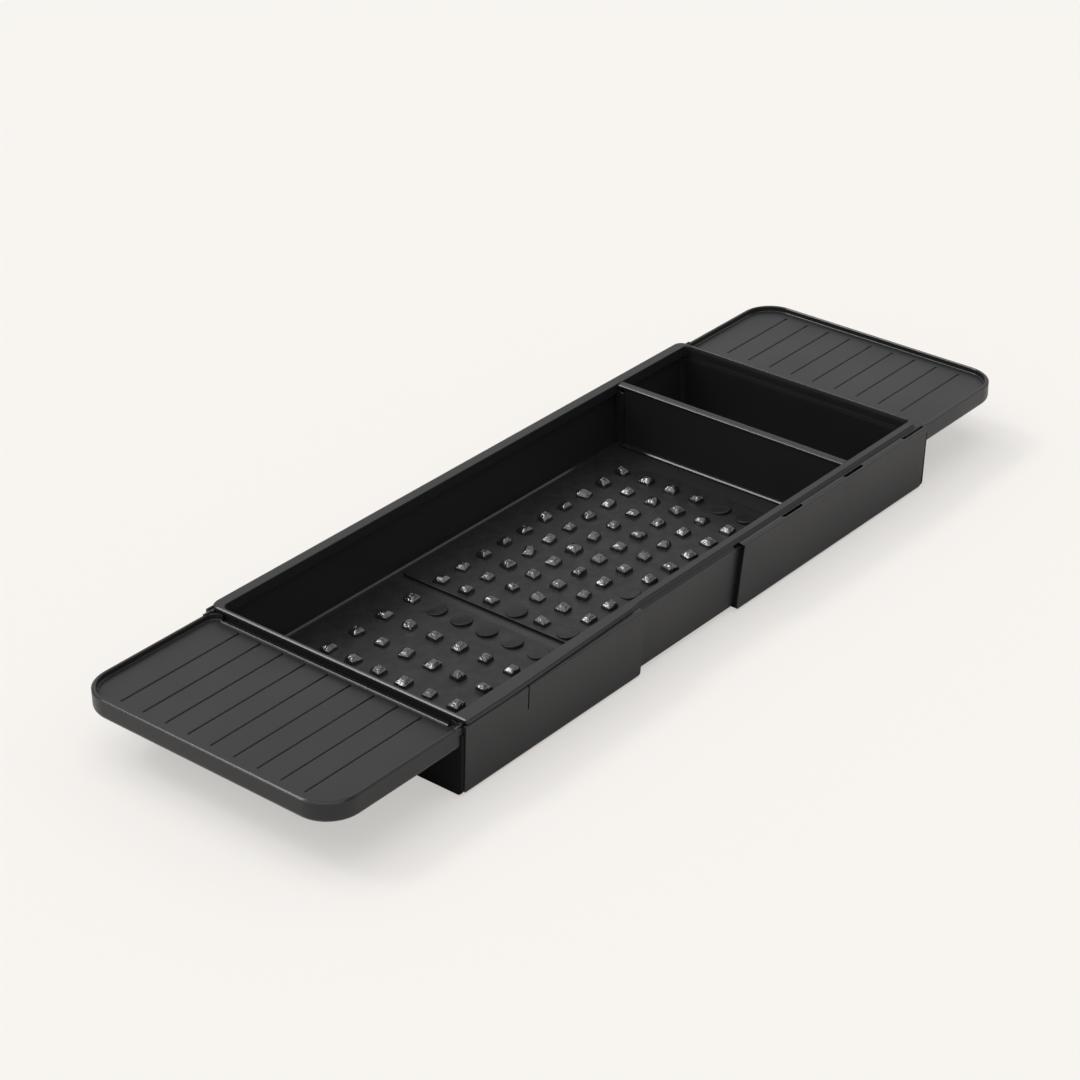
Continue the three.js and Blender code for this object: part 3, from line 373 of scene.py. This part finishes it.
divider_shells = [
    prism(both_ways(divider_top), *divider_top_ends, 0.2, "xzy"),
    prism(both_ways(divider_face), -divider_side, divider_side, 0.2, "xzy"),
    prism(both_ways(divider_step), -divider_side - 0.05, divider_side + 0.05, 0.2, "xzy"),
    slab((divider_at - 1.1, -78.5, divider_foot + 0.7), (divider_at + 1.1, 78.5, lip_top - 1)),
]

divider = new_piece("divider_moulding", divider_shells, [black_plastic], 25)
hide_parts("divider")
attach(divider, "divider_body")


# Sleeves.
# Two channels, open at one end, that the tray lies in. Their flanges turn in over the tray's
# rails, and have the windows in which the slide's catches stop.

step_length = 58.5  # slide from one stop to the next
window_reach = 9  # half of a window's length
window_inner, window_outer = 85.7, 87.25
window_lean = np.array([0.9, 1.4])  # their inner and outer edges lean outwards by this at the top
flange_inner = 84.6
flange_underside = sleeve_top - 1.8
flange_edge = sleeve_top - 0.35  # the flange's top slants down to the side face
sleeve_wall = 2.6
sleeve_floor = sleeve_underside + 1.6
slit_foot = sleeve_top - 14
slit_reach = 0.45  # half of its width
notch_end = 22.0  # of the flange's notch for the wing's arm, from the closed end
end_radius, mouth_radius = 3.0, 5.0  # of the lower corners at the closed end and at the mouth
end_wall, end_wall_side, end_wall_top = 2.4, 87.9, 35.05


def stepped(rings, cells, present):
    """A solid run through rings, whose section between two rings is made of the cells present there.

    A cell is a closed polygon of ring points. Between two rings a face stands on each cell edge
    that no other present cell shares, and at a ring a cell that begins or ends there has a face.
    """
    points = np.asarray(rings, float)
    around = points.shape[1]
    faces = []
    for i, here in enumerate(present):
        edges = {edge for key in here for edge in zip(cells[key], cells[key][1:] + cells[key][:1])}
        for a, b in edges:
            if (b, a) not in edges:
                faces.append([i * around + a, i * around + b, (i + 1) * around + b, (i + 1) * around + a])
    for i, (before, after) in enumerate(zip([set(), *present], [*present, set()])):
        for key in before ^ after:
            cap = [i * around + k for k in cells[key]]
            faces.append(cap if key in before else cap[::-1])
    return points.reshape(-1, 3), faces


def channel_half(window_gap):
    """Half of a sleeve's section in y and z, from the outer bottom edge over the top to the floor.

    window_gap is the share of the windows' full width that is left open between the edges of the
    flange's inner and outer part.
    """
    middle = (window_inner + window_outer) / 2
    reach = (window_outer - window_inner) / 2 * window_gap
    lean = window_lean * window_gap
    turned_in = np.array([(85.4, sleeve_top), (flange_inner, sleeve_top), (flange_inner, flange_underside)])
    inner_side = sleeve_side - sleeve_wall
    bottom, fillet = leaning(sleeve_side, sleeve_underside), leaning(inner_side, sleeve_floor + 2)
    rows = [
        arc(bottom - 2.2, sleeve_underside + 2.2, 2.2, -1, 0, 5),
        [(leaning(sleeve_side, slit_foot), slit_foot)],
        bend(*np.array([(sleeve_side - 0.8, 28.0), (sleeve_side, flange_edge), (87.0, flange_edge)]), 0.7, 3),
        [(middle + reach + lean[1], sleeve_top - 0.25), (middle - reach + lean[0], sleeve_top - 0.08)],
        bend(*turned_in, 0.35, 3),
        [(y, flange_underside) for y in (flange_inner, middle - reach, middle + reach)],
        [(leaning(inner_side, flange_underside), flange_underside)],
        [(leaning(inner_side, slit_foot), slit_foot)],
        [(fillet, sleeve_floor + 2), (fillet - 2, sleeve_floor)],
    ]
    return np.concatenate([np.asarray(row, float) for row in rows])


# Places in that list of points: the slit's foot, the windows' edges above and below, and the
# flange's inner lower edge. The cells between them can be left out for a slit or a window.
half_count = len(channel_half(1))
slit_out, window_out, window_in, flange_in = 6, 11, 12, 17
under_in, under_out, slit_in = flange_in + 1, flange_in + 2, flange_in + 4
one_side = {
    "upper": [*range(slit_out, window_out + 1), *range(under_out, slit_in + 1)],
    "web": [window_out, window_in, under_in, under_out],
    "strip": [*range(window_in, under_in + 1)],
}
cells = {"lower": [*range(slit_out + 1), *range(slit_in, half_count)]}
cells["lower"] += [2 * half_count - 1 - k for k in reversed(cells["lower"])]
for key, polygon in one_side.items():
    cells["right " + key] = polygon
    cells["left " + key] = [2 * half_count - 1 - k for k in reversed(polygon)]


def sleeve_shells(end, out, length, windows, slit, mouth_lean):
    """A channel along x whose side walls have round lower corners at both ends, and its end wall.

    `end` is its closed end's place and `out` the way it slides. `windows` and `slit` say how far
    from that end their middles are. At either end a ring point at height z stands back by
    R - sqrt(R^2 - (R - h)^2), where h is its height over the underside, up to R. At the mouth it
    also stands back by mouth_lean h / H.
    """
    closed = set(cells)
    opened = closed - {"left web", "right web"}
    rounding = [(0.3 * (1 - math.cos(t * math.pi / 2)), 0.3 * (1 - t)) for t in (0, 0.5, 1)]
    # Each station: its distance from the closed end, the windows' gap, the cells that follow it,
    # how far its outline is drawn in, and its lower corners' radius.
    stations = [(back, 1, opened, inset, end_radius) for back, inset in rounding]
    stations += [(5.0, 1, opened, 0, 0), (notch_end - 0.7, 1, opened, 0, 0), (notch_end, 0.4, closed, 0, 0)]
    if slit:
        stations += [(slit - slit_reach, 0.4, {"lower"}, 0, 0), (slit + slit_reach, 0.4, closed, 0, 0)]
    for middle in windows:
        for shift, gap in ((-window_reach, 0.3), (-8.7, 0.75), (-8, 1), (8, 1), (8.7, 0.75)):
            stations.append((middle + shift, gap, opened, 0, 0))
        stations.append((middle + window_reach, 0.3, closed, 0, 0))
    stations.append((length - 5.6, 0.4, closed, 0, 0))
    stations += [(length - back, 0.4, closed, inset, mouth_radius) for back, inset in rounding[::-1]]
    rings = []
    for from_end, gap, _, inset, radius in stations:
        half = channel_half(gap)
        loop = np.concatenate([half, half[::-1] * [-1, 1]])
        loop = drawn_in(loop, inset) if inset else loop
        rise = np.clip(radius - (loop[:, 1] - sleeve_underside), 0, radius)
        back = radius - np.sqrt(np.maximum(radius**2 - rise**2, 0))
        inwards = from_end + (back if from_end < length / 2 else -back)
        if from_end > length - 6:
            inwards -= mouth_lean * (loop[:, 1] - sleeve_underside) / (sleeve_top - sleeve_underside)
        if inset and from_end > length / 2:  # the mouth's end faces lean into the sleeve
            inwards[flange_in : 2 * half_count - flange_in] -= 2.2
        rings.append(np.column_stack([end - out * inwards, loop]))
    channel = stepped(rings, cells, [station[2] for station in stations[:-1]])

    side_view = np.concatenate(
        [
            [(end_wall, end_wall_top), (0.06, end_wall_top)],
            arc(end_radius + 0.06, sleeve_underside + end_radius, end_radius, -2, -1, 6),
            [(6, sleeve_underside + 0.1), (6, sleeve_floor), (end_wall, sleeve_floor)],
        ]
    )
    points, faces = prism(side_view, -end_wall_side, end_wall_side, 0.2, "xzy")
    points[:, 1] *= leaning(end_wall_side, points[:, 2]) / end_wall_side
    points[:, 0] = end - out * points[:, 0]
    # The end wall takes the second material, darkened as painted shade under the wing.
    return [channel, (points, faces, 1)]


one_step, two_steps = catch_at + step_length, catch_at + 2 * step_length
sleeves = {
    "near": sleeve_shells(0, -1, near_sleeve_length, [one_step], 47.5, 0),
    "far": sleeve_shells(body_length, 1, far_sleeve_length, [one_step, two_steps], None, 4.5),
}
for end, shells in sleeves.items():
    sleeve = new_piece(end + "_sleeve_moulding", shells, [black_plastic, dull_painted_shade_plastic])
    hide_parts(end + "_sleeve")
    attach(sleeve, end + "_sleeve_body")


# Wings.
# A flat shelf with a raised edge at each end, screwed to the sleeve's end wall, which rests on the
# rim of the bath. Fine grooves in it keep a wet soap or cup from sliding.

wing_top = lip_top - 3.2
wing_underside = wing_top - 11.8
plate_top = wing_top - 3.2
plate_underside = plate_top - 2.2
plate_middle = plate_underside + 1.1
wing_side = 87.7
wing_corner = 20.0
behind_flanges = 84.1  # the wing reaches further in between the sleeve's flanges
gusset_side, gusset_reach, gusset_foot, gusset_knee = 62, 20.25, 17.3, 33.7
screw_side, screw_height, boss_radius, boss_length = 40, 22, 3.8, 7
arm_start, arm_end = -18.65, 5  # along x, from a notch in the flange to a root in the wing's edge
arm_inner, arm_outer, arm_bottom, arm_top = 85.75, 87.05, 40.15, 41.35
strip_shares = np.array([0.36, 0.74])  # where the rubber strips lie, as shares of a wing's reach
strip_rib = np.array([4.95, 6.55])  # faces of a rib beside a rubber strip, from the strip's middle
groove_depth = 0.6
groove_foot, groove_rim = 0.5, 0.85  # half widths of a groove
# Points across the inner end of the raised edge and of the hollow, and where the edge is raised.
edge_y = np.array([82.5, 80.5, 79.5, 78.5, 60, 30, 0, -30, -60, -78.5, -79.5, -80.5, -82.5])
recess_y = np.array([79.08, 79.0, 78.9, 78.3, 60, 30, 0, -30, -60, -78.3, -78.9, -79.0, -79.08])
edge_height = np.array([1, 1, 1, 0, 0, 0, 0, 0, 0, 0, 1, 1, 1])


def wing_outside(reach, inset, inner, z):
    """Outline of the wing's body at one height; the inner edge steps back beside the flanges."""
    side, centre = wing_side - inset, wing_side - wing_corner
    across = [(x, behind_flanges) for x in (inner, (inner + SEAT_GAP) / 2, SEAT_GAP)]
    step = np.array([*across, *[(SEAT_GAP, y) for y in (85.3, 86.5, side)]])
    loop = np.concatenate(
        [
            step * [1, -1],
            arc(reach - wing_corner, -centre, wing_corner - inset, 3, 4, 10),
            arc(reach - wing_corner, centre, wing_corner - inset, 0, 1, 10),
            step[::-1],
            np.column_stack([np.full(len(edge_y), inner), edge_y]),
        ]
    )
    return np.column_stack([loop, np.full(len(loop), z)])


def wing_inside(reach, inset, inner, corner, z):
    """Outline of a hollow in the wing at one height, with round corners at both ends."""
    side, centre = wing_side - inset, wing_side - wing_corner
    loop = np.concatenate(
        [
            arc(inner + corner, corner - side, corner, 2, 3, 5),
            arc(reach - wing_corner, -centre, wing_corner - inset, 3, 4, 10),
            arc(reach - wing_corner, centre, wing_corner - inset, 0, 1, 10),
            arc(inner + corner, side - corner, corner, 1, 2, 5),
            np.column_stack([np.full(len(recess_y), inner), recess_y]),
        ]
    )
    return np.column_stack([loop, np.full(len(loop), z)])


def grooved_plate(reach, groove_start, groove_stop):
    """The plate's top on a grid: z is plate_top, less groove_depth in the grooves.

    Its sides and its underside close it, inside the raised edge.
    """
    pitch = 15.8
    grooves = np.arange(-4, 5) * pitch
    shifts = (-groove_rim, -groove_foot, groove_foot, groove_rim, pitch / 2)
    outermost = [-71.1, -74, 74, -79, 79, -82, 82, -84.5, 84.5, -85.5, 85.5]
    across = np.sort(np.concatenate([*(grooves + shift for shift in shifts), outermost]))
    # Its ends follow the hollow's corners, the inner ones 6.3 mm round and the outer ones 17.9 mm.
    inner = 4.55 - np.sqrt(np.maximum(6.3**2 - np.clip(np.abs(across) - 79.1, 0, None) ** 2, 0))
    centre = wing_side - wing_corner
    outer = np.sqrt(np.maximum(17.9**2 - np.clip(np.abs(across) - centre, 0, None) ** 2, 0))
    outer += reach - wing_corner
    rows = [groove_start, groove_start + 0.3, reach - groove_stop - 0.3, reach - groove_stop]
    along = [inner] + [np.clip(row, inner + 0.1, outer - 0.1) for row in rows] + [outer]
    inside = (np.abs(across[:, None] - grooves) < (groove_foot + groove_rim) / 2).any(axis=1)
    height = [plate_top - groove_depth * (inside & (k in (2, 3))) for k in range(len(along))]
    grid = np.stack([np.stack([u, across, z], axis=1) for u, z in zip(along, height)])
    index = np.arange(grid.shape[0] * grid.shape[1]).reshape(grid.shape[:2])
    quads = np.stack([index[:-1, :-1], index[1:, :-1], index[1:, 1:], index[:-1, 1:]], axis=-1)
    border = [*index[:, 0], *index[-1, 1:], *index[-2::-1, -1], *index[0, -2:0:-1]]
    below = grid.reshape(-1, 3)[border] * [1, 1, 0] + [0, 0, plate_underside + 0.8]
    foot = [index.size + i for i in range(len(border))]
    walls = [[a, b, d, c] for a, b, c, d in zip(border, border[1:] + border[:1], foot, foot[1:] + foot[:1])]
    return np.concatenate([grid.reshape(-1, 3), below]), [*quads.reshape(-1, 4).tolist(), *walls, foot]


def wing_shells(reach, groove_start, groove_stop):
    """A pan lofted from under its plate, round the edge and over the lip, with what hangs under it.

    Distances along x run outwards from the sleeve's end face.
    """
    quarter = np.linspace(0, math.pi / 2, 5)
    edge = [(2.6 * (1 - math.sin(a)), wing_underside + 2.6 * (1 - math.cos(a))) for a in quarter[1:]]
    rings = [
        wing_inside(reach, 3.4, 2.25, 1, plate_underside),
        wing_inside(reach, 2.6, 2.25, 1, plate_underside - 0.4),
        wing_inside(reach, 2.4, 2.25, 1, wing_underside + 0.5),
        wing_outside(reach, 2.1, SEAT_GAP, wing_underside + 0.02),
        *[wing_outside(reach, inset, SEAT_GAP, z) for inset, z in edge],
        wing_outside(reach, 0, SEAT_GAP, plate_underside),
        wing_outside(reach, 0, -2.65, plate_underside),
        wing_outside(reach, 0, -2.65, plate_underside + 1),
    ]
    # The edge is raised all round but for the middle of the inner end, where a low bead lies beside
    # the tray. Each row: a ring of the raised edge, and the bead's place and height at that ring.
    raised = np.concatenate([np.ones(34), edge_height]) > 0
    for ring, bead_x, bead_z in [
        (wing_outside(reach, 0, -2.65, wing_top - 0.85), -2.65, 0.1),
        (wing_outside(reach, 0.7, -2.6, wing_top - 0.3), -2.6, 0.2),
        (wing_outside(reach, 1.2, -2.5, wing_top), -2.3, 0.2),
        (wing_inside(reach, 2, -1.8, 6.4, wing_top), -0.1, 0.2),
        (wing_inside(reach, 2.4, -1.55, 6.15, wing_top - 0.35), 0, 0.8),
        (wing_inside(reach, 2.5, -1.45, 6.05, plate_top + 0.3), 0.2, 0.85),
        (wing_inside(reach, 2.75, -1.2, 5.8, plate_top + 0.06), 1.1, 0.18),
        (wing_inside(reach, 3.1, -1, 5.6, plate_top - 0.05), 1.2, -0.05),
        (wing_inside(reach, 3.1, -1, 5.6, plate_top - 0.8), 1.2, -0.8),
    ]:
        ring[~raised, 0] = bead_x
        ring[~raised, 2] = plate_top + bead_z
        rings.append(ring)
    shells = [skin(rings), grooved_plate(reach, groove_start, groove_stop)]

    # Leg down the end wall, gussets, bosses, ribs for the rubber strips, and arms in the notches.
    foot = sleeve_underside + 0.3
    foot_side, knee_side = leaning(sleeve_side, foot) - 0.4, leaning(sleeve_side, wing_underside) - 0.4
    corners = [(-foot_side, foot), (foot_side, foot), (knee_side, plate_middle), (-knee_side, plate_middle)]
    leg = rounded(corners, [3, 3, 0.5, 0.5], 5)
    root = SEAT_GAP + 1  # in the middle of the leg
    # The leg, gussets, bosses and ribs take the second material, darkened as painted shade under the wing.
    shells.append((*prism(leg, SEAT_GAP, SEAT_GAP + 2, 0.3, "yzx"), 1))
    slant = [(gusset_reach, gusset_knee), (root, gusset_foot)]
    gusset = rounded([(root, plate_middle), (gusset_reach, plate_middle), *slant], 0.3)
    for side in (1, -1):
        middle = side * gusset_side
        shells.append((*prism(gusset, middle - 1, middle + 1, 0.3, "xzy"), 1))
        boss = arc(side * screw_side, screw_height, boss_radius, 0, 4, 32)[:-1]
        shells.append((*prism(boss, root, root + boss_length, 0.4, "yzx"), 1))
        low, high = (arm_start, side * arm_inner, arm_bottom), (arm_end, side * arm_outer, arm_top)
        shells.append(slab(low, high, 0.2))
    for middle in strip_shares * reach:
        for face in (1, -1):
            near, far = middle + face * strip_rib
            shells.append((*slab((near, -69, wing_underside + 0.8), (far, 69, plate_middle)), 1))
    return shells


# Each wing: its end face's place, the way it slides, its reach, and how far its grooves stay from
# its inner and its outer edge.
wing_sizes = {"near": (0, -1, 93.5, 1.5, 8.5), "far": (body_length, 1, 84, 13, 8)}
for name, (end, out, reach, groove_start, groove_stop) in wing_sizes.items():
    shells = [
        (points * [out, 1, 1] + [end, 0, 0], *rest)
        for points, *rest in wing_shells(reach, groove_start, groove_stop)
    ]
    wing = new_piece(name + "_wing_moulding", shells, [black_plastic, dull_painted_shade_plastic])
    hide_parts(name + "_wing")
    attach(wing, name + "_sleeve_body")


# Studded mats.
# Two sheets of black rubber glued to the tray's floor, a thin one and a thicker one. The studs are
# moulded on and come out glossy and a little uneven; a few are no more than low discs.

chance = np.random.default_rng(7)


def sheet_rubber(name):
    """Moulded rubber sheet, satin and a little wavy where it shrank round the studs.

    Its waves are 11 mm long and its blots of sheen 7 mm. The grain left by the mould is drawn
    0.9 mm wide; the real one is too fine to show.
    """
    material, tree, place, shader = new_material(name)
    swell = {"Vector": place, "Scale": 1 / (11 * MM), "Detail": 1.0}
    wave = add(tree, "ShaderNodeTexNoise", None, swell)
    grain = add(tree, "ShaderNodeTexNoise", None, {"Vector": place, "Scale": 1 / (0.9 * MM)})
    sheen = add(tree, "ShaderNodeTexNoise", None, {"Vector": place, "Scale": 1 / (7 * MM)})
    limits = {"Value": sheen.outputs["Fac"], "From Min": 0.3, "From Max": 0.7, "To Min": 0.36, "To Max": 0.52}
    rough = add(tree, "ShaderNodeMapRange", None, limits)
    depth = {"Height": wave.outputs["Fac"], "Strength": 0.8, "Distance": 0.5 * MM}
    waves = add(tree, "ShaderNodeBump", None, depth)
    depth = {"Height": grain.outputs["Fac"], "Strength": 0.3, "Distance": 0.03 * MM}
    bump = add(tree, "ShaderNodeBump", None, depth | {"Normal": waves.outputs["Normal"]})
    shader["Base Color"].default_value = linear("#19191b")
    shader["IOR"].default_value = 1.53
    shader["Specular IOR Level"].default_value = 0.28
    tree.links.new(rough.outputs["Result"], shader["Roughness"])
    tree.links.new(bump.outputs["Normal"], shader["Normal"])
    return material


def glossy_rubber(name):
    """Rubber from a polished mould, with the uneven skin of a part that cooled too fast.

    Its dents are 1.6 mm wide and its blots of sheen 3 mm. Its IOR is above rubber's 1.52, to match
    the glints on the studs.
    """
    material, tree, place, shader = new_material(name)
    skin_noise = {"Vector": place, "Scale": 1 / (1.6 * MM), "Detail": 1.0}
    dents = add(tree, "ShaderNodeTexNoise", None, skin_noise)
    sheen = add(tree, "ShaderNodeTexNoise", None, {"Vector": place, "Scale": 1 / (3 * MM)})
    limits = {"Value": sheen.outputs["Fac"], "From Min": 0.3, "From Max": 0.7, "To Min": 0.06, "To Max": 0.16}
    rough = add(tree, "ShaderNodeMapRange", None, limits)
    depth = {"Height": dents.outputs["Fac"], "Strength": 0.9, "Distance": 0.3 * MM}
    bump = add(tree, "ShaderNodeBump", None, depth)
    shader["Base Color"].default_value = linear("#1b1b1c")
    shader["IOR"].default_value = 1.8
    tree.links.new(rough.outputs["Result"], shader["Roughness"])
    tree.links.new(bump.outputs["Normal"], shader["Normal"])
    return material


def stud(x, y, top):
    """A square lump with flat slanting sides, set on its sheet.

    Each one is turned, stretched, tilted and dished by chance. A row is half the width of a square
    and its share of the height.
    """
    turn = math.radians(chance.normal(0, 8))
    spin = np.array([[math.cos(turn), -math.sin(turn)], [math.sin(turn), math.cos(turn)]])
    stretch = chance.uniform(0.85, 1.12, 2)
    height = 3.9 * chance.uniform(0.8, 1.0)
    tilt = chance.normal((0.12, 0), (0.12, 0.1))
    dish = chance.uniform(0.1, 0.5) * chance.integers(0, 2)
    shift = chance.normal(0, 0.25, 2)
    rows = [(4.15, -0.3), (4.0, 0.05), (3.75, 0.4), (3.5, 0.62), (1.9, 0.96), (1.5, 1.0), (0.9, 1.0)]
    rings = []
    for k, (half, share) in enumerate(rows):
        flat = box_outline(-half, half, -half, half, 0.42 * half) * stretch @ spin.T
        rise = np.full(len(flat), share * height if share > 0 else share)
        if share > 0.5:  # the top and the bevel round it
            rise = rise + np.clip(flat @ tilt, -0.8, 0.2)
            flat = flat + shift
        if k == len(rows) - 1:
            rise = rise - dish
        rings.append(np.column_stack([flat + [x, y], top + rise]))
    return (*skin(rings), 1)


def low_disc(x, y, top):
    """A flat disc that stands out on the side of the tray's front and sinks in behind."""
    angle = np.linspace(0, 2 * math.pi, 28, endpoint=False)
    round_ = np.stack([np.cos(angle), np.sin(angle)], axis=1)
    lean = angle - math.radians(chance.normal(-95, 14))
    height = 1.7 * (0.02 + 0.98 * (0.5 + 0.5 * np.cos(lean)))
    rings = []
    for radius, share in ((6.2, -0.4), (6.15, 0.6), (5.9, 0.95), (5.4, 1.0), (2.5, 0.5)):
        rise = height * share if share > 0 else np.full(len(angle), share)
        rings.append(np.column_stack([round_ * radius + [x, y], top + rise]))
    return (*skin(rings), 0)


def sheet(start, end, top, rim):
    """A mat's plain sheet with round corners."""
    return prism(box_outline(start, end, -mat_side, mat_side, 5.6), mat_base, top, rim, "xyz")


satin_rubber = sheet_rubber("satin_rubber")
stud_rubber = glossy_rubber("stud_rubber")
mat_base = floor_top + SEAT_GAP
mat_side = 78.6
near_top, main_top = mat_base + 0.6, mat_base + 1.4
near_columns = 30.5 + 22 * np.arange(5)
main_columns = 143 + 17.8 * np.arange(10)
row_y = np.arange(-3, 4) * 18.0
near_ends, main_ends = (9.5, 128.5), (135.8, 316.5)
mats = {
    "near_stud_mat": [sheet(*near_ends, near_top, 0.25)],
    "main_stud_mat": [sheet(*main_ends, main_top, 0.5)],
}
# Column and row of each low disc; the near mat's last column is of discs but for its two ends.
near_discs = [(4, row) for row in range(1, 6)]
main_discs = [(0, 1), (0, 3), (3, 1), (9, 1), (9, 2)]
for row, y in enumerate(row_y):
    for column, x in enumerate(near_columns):
        kind = low_disc if (column, row) in near_discs else stud
        mats["near_stud_mat"].append(kind(x, y, near_top))
    for column, x in enumerate(main_columns):
        kind = low_disc if (column, row) in main_discs else stud
        mats["main_stud_mat"].append(kind(x, y, main_top))
for name, shells in mats.items():
    mat = new_piece(name + "_moulding", shells, [satin_rubber, stud_rubber], 60)
    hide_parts(name)
    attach(mat, "tray_body")


# Fixings under the caddy.
# Zinc-plated countersunk screws hold the wings; rubber strips under the wings and rubber feet
# under the sleeves keep the caddy from sliding.


def zinc_plated(name):
    """Bright zinc on cold-formed steel, a soft mirror with a faint unevenness 0.4 mm wide."""
    material, tree, place, shader = new_material(name)
    marks = add(tree, "ShaderNodeTexNoise", None, {"Vector": place, "Scale": 1 / (0.4 * MM)})
    depth = {"Height": marks.outputs["Fac"], "Strength": 0.1, "Distance": 0.02 * MM}
    bump = add(tree, "ShaderNodeBump", None, depth)
    shader["Base Color"].default_value = linear("#c6c7c9")
    shader["Metallic"].default_value = 1.0
    shader["Roughness"].default_value = 0.28
    tree.links.new(bump.outputs["Normal"], shader["Normal"])
    return material


def merged_copy(node, material):
    """A CAD node's own form with its corners joined, for a small fastener."""
    shape = bmesh.new()
    shape.from_mesh(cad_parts[node].data)
    bmesh.ops.remove_doubles(shape, verts=shape.verts, dist=0.002 * MM)
    mesh = bpy.data.meshes.new(node + "_turned")
    shape.to_mesh(mesh)
    shape.free()
    mesh.materials.append(material)
    mesh.shade_smooth()
    mesh.set_sharp_from_angle(angle=math.radians(30))
    piece = bpy.data.objects.new(node + "_turned", mesh)
    bpy.context.scene.collection.objects.link(piece)
    return piece


zinc = zinc_plated("zinc")
grip_rubber = satin_plastic("grip_rubber", "#18181a", 0.6, 0.6, 0.3)
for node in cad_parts:
    low, high = (np.array(corner) / MM - [near_face, 0, 0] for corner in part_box(node))
    if "screw" in node:
        piece, slot = merged_copy(node, zinc), "screw_steel"
    elif "strip" in node:
        piece, slot = new_piece(node + "_moulding", [slab(low, high, 0.9)], [grip_rubber]), "grip_rubber"
    elif "foot" in node:
        middle, radius = (low + high) / 2, (high[0] - low[0]) / 2
        circle = arc(middle[0], middle[1], radius, 0, 4, 40)[:-1]
        pad = prism(circle, low[2], high[2], 0.25, "xyz")
        piece, slot = new_piece(node + "_moulding", [pad], [grip_rubber]), "grip_rubber"
    else:
        continue
    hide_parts(node)
    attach(piece, node.split("_")[0] + "_sleeve_body")


# Floor, lights and camera.
# A plain warm white sweep under soft studio light from above, seen from the near left corner.
# It glows a little for the camera alone, as paper does that is lit on its own.

FLOOR_SIZE = 12.0
GLOW = 0.55
bpy.ops.mesh.primitive_plane_add(size=FLOOR_SIZE)
floor = bpy.context.object
floor.name = "floor"
paper = bpy.data.materials.new("paper")
paper.use_nodes = True
paper.node_tree.nodes.clear()
lit = add(paper.node_tree, "ShaderNodeBsdfDiffuse", None, {"Color": linear("#fffcf8")}).outputs["BSDF"]
glow = add(paper.node_tree, "ShaderNodeEmission", None, {"Color": linear("#f4f1ed")}).outputs["Emission"]
seen = add(paper.node_tree, "ShaderNodeLightPath").outputs["Is Camera Ray"]
glowing = add(paper.node_tree, "ShaderNodeMath", {"operation": "MULTIPLY"}, {0: seen, 1: GLOW}).outputs[0]
both = add(paper.node_tree, "ShaderNodeMixShader", None, {0: glowing, 1: lit, 2: glow}).outputs[0]
add(paper.node_tree, "ShaderNodeOutputMaterial", None, {"Surface": both})
floor.data.materials.append(paper)

# The room is brightest half way up, as a white wall is, and dimmer overhead. Matt surfaces get less
# of it than mirrors show, which keeps the shadows narrow.
world = bpy.data.worlds.new("studio")
bpy.context.scene.world = world
world.use_nodes = True
room = world.node_tree
direction = add(room, "ShaderNodeTexCoord").outputs["Generated"]
height = add(room, "ShaderNodeSeparateXYZ", None, {0: direction}).outputs["Z"]
matt = add(room, "ShaderNodeLightPath").outputs["Is Diffuse Ray"]
strength = 1.0
# Each factor of its strength: what it follows, between which two values, and the factor at both.
for value, low, high, at_low, at_high in [
    (height, 0.64, 0.84, 1.0, 0.3),
    (height, 0.4, 0.6, 0.68, 1.34),
    (matt, 0.0, 1.0, 1.0, 0.5),
]:
    limits = {"Value": value, "From Min": low, "From Max": high, "To Min": at_low, "To Max": at_high}
    part = add(room, "ShaderNodeMapRange", None, limits).outputs["Result"]
    strength = add(room, "ShaderNodeMath", {"operation": "MULTIPLY"}, {0: strength, 1: part}).outputs[0]
room.links.new(strength, room.nodes["Background"].inputs["Strength"])
room.nodes["Background"].inputs["Color"].default_value = (1, 1, 1, 1)

# Each lamp: its direction, its strength and the angle it fills. The narrow ones draw the bright
# lines along the edges that face the near end.
for name, towards, energy, angle in [
    ("softbox", (-0.2, 0.1, 1.0), 1.4, 70),
    ("strip_light", (-0.28, 0.563, 0.777), 0.5, 15),
    ("high_strip_light", (0.05, 0.563, 0.825), 0.12, 9),
]:
    sun = bpy.data.lights.new(name, "SUN")
    sun.energy = energy
    sun.angle = math.radians(angle)
    lamp = bpy.data.objects.new(name, sun)
    lamp.rotation_euler = Vector(towards).to_track_quat("Z", "Y").to_euler()
    bpy.context.scene.collection.objects.link(lamp)

AZIMUTH = math.radians(-49.7)
ELEVATION = math.radians(29.54)
ROLL = math.radians(-0.9)
DISTANCE = 1.572
TARGET = Vector((-0.0292, 0.0042, 0.0378))
FOCAL_PIXELS = 2899
PHOTO_PIXELS = 1080

back = Vector(
    (
        math.sin(AZIMUTH) * math.cos(ELEVATION),
        -math.cos(AZIMUTH) * math.cos(ELEVATION),
        math.sin(ELEVATION),
    )
)
right = Vector((math.cos(AZIMUTH), math.sin(AZIMUTH), 0))
up = back.cross(right)
lens = bpy.data.cameras.new("camera")
lens.sensor_width = 36
lens.lens = lens.sensor_width * FOCAL_PIXELS / PHOTO_PIXELS
camera = bpy.data.objects.new("camera", lens)
turn = Matrix((right, up, back)).transposed() @ Matrix.Rotation(ROLL, 3, "Z")
camera.matrix_world = Matrix.Translation(TARGET + back * DISTANCE) @ turn.to_4x4()
bpy.context.scene.collection.objects.link(camera)
bpy.context.scene.camera = camera
bpy.context.scene.view_settings.view_transform = "Standard"
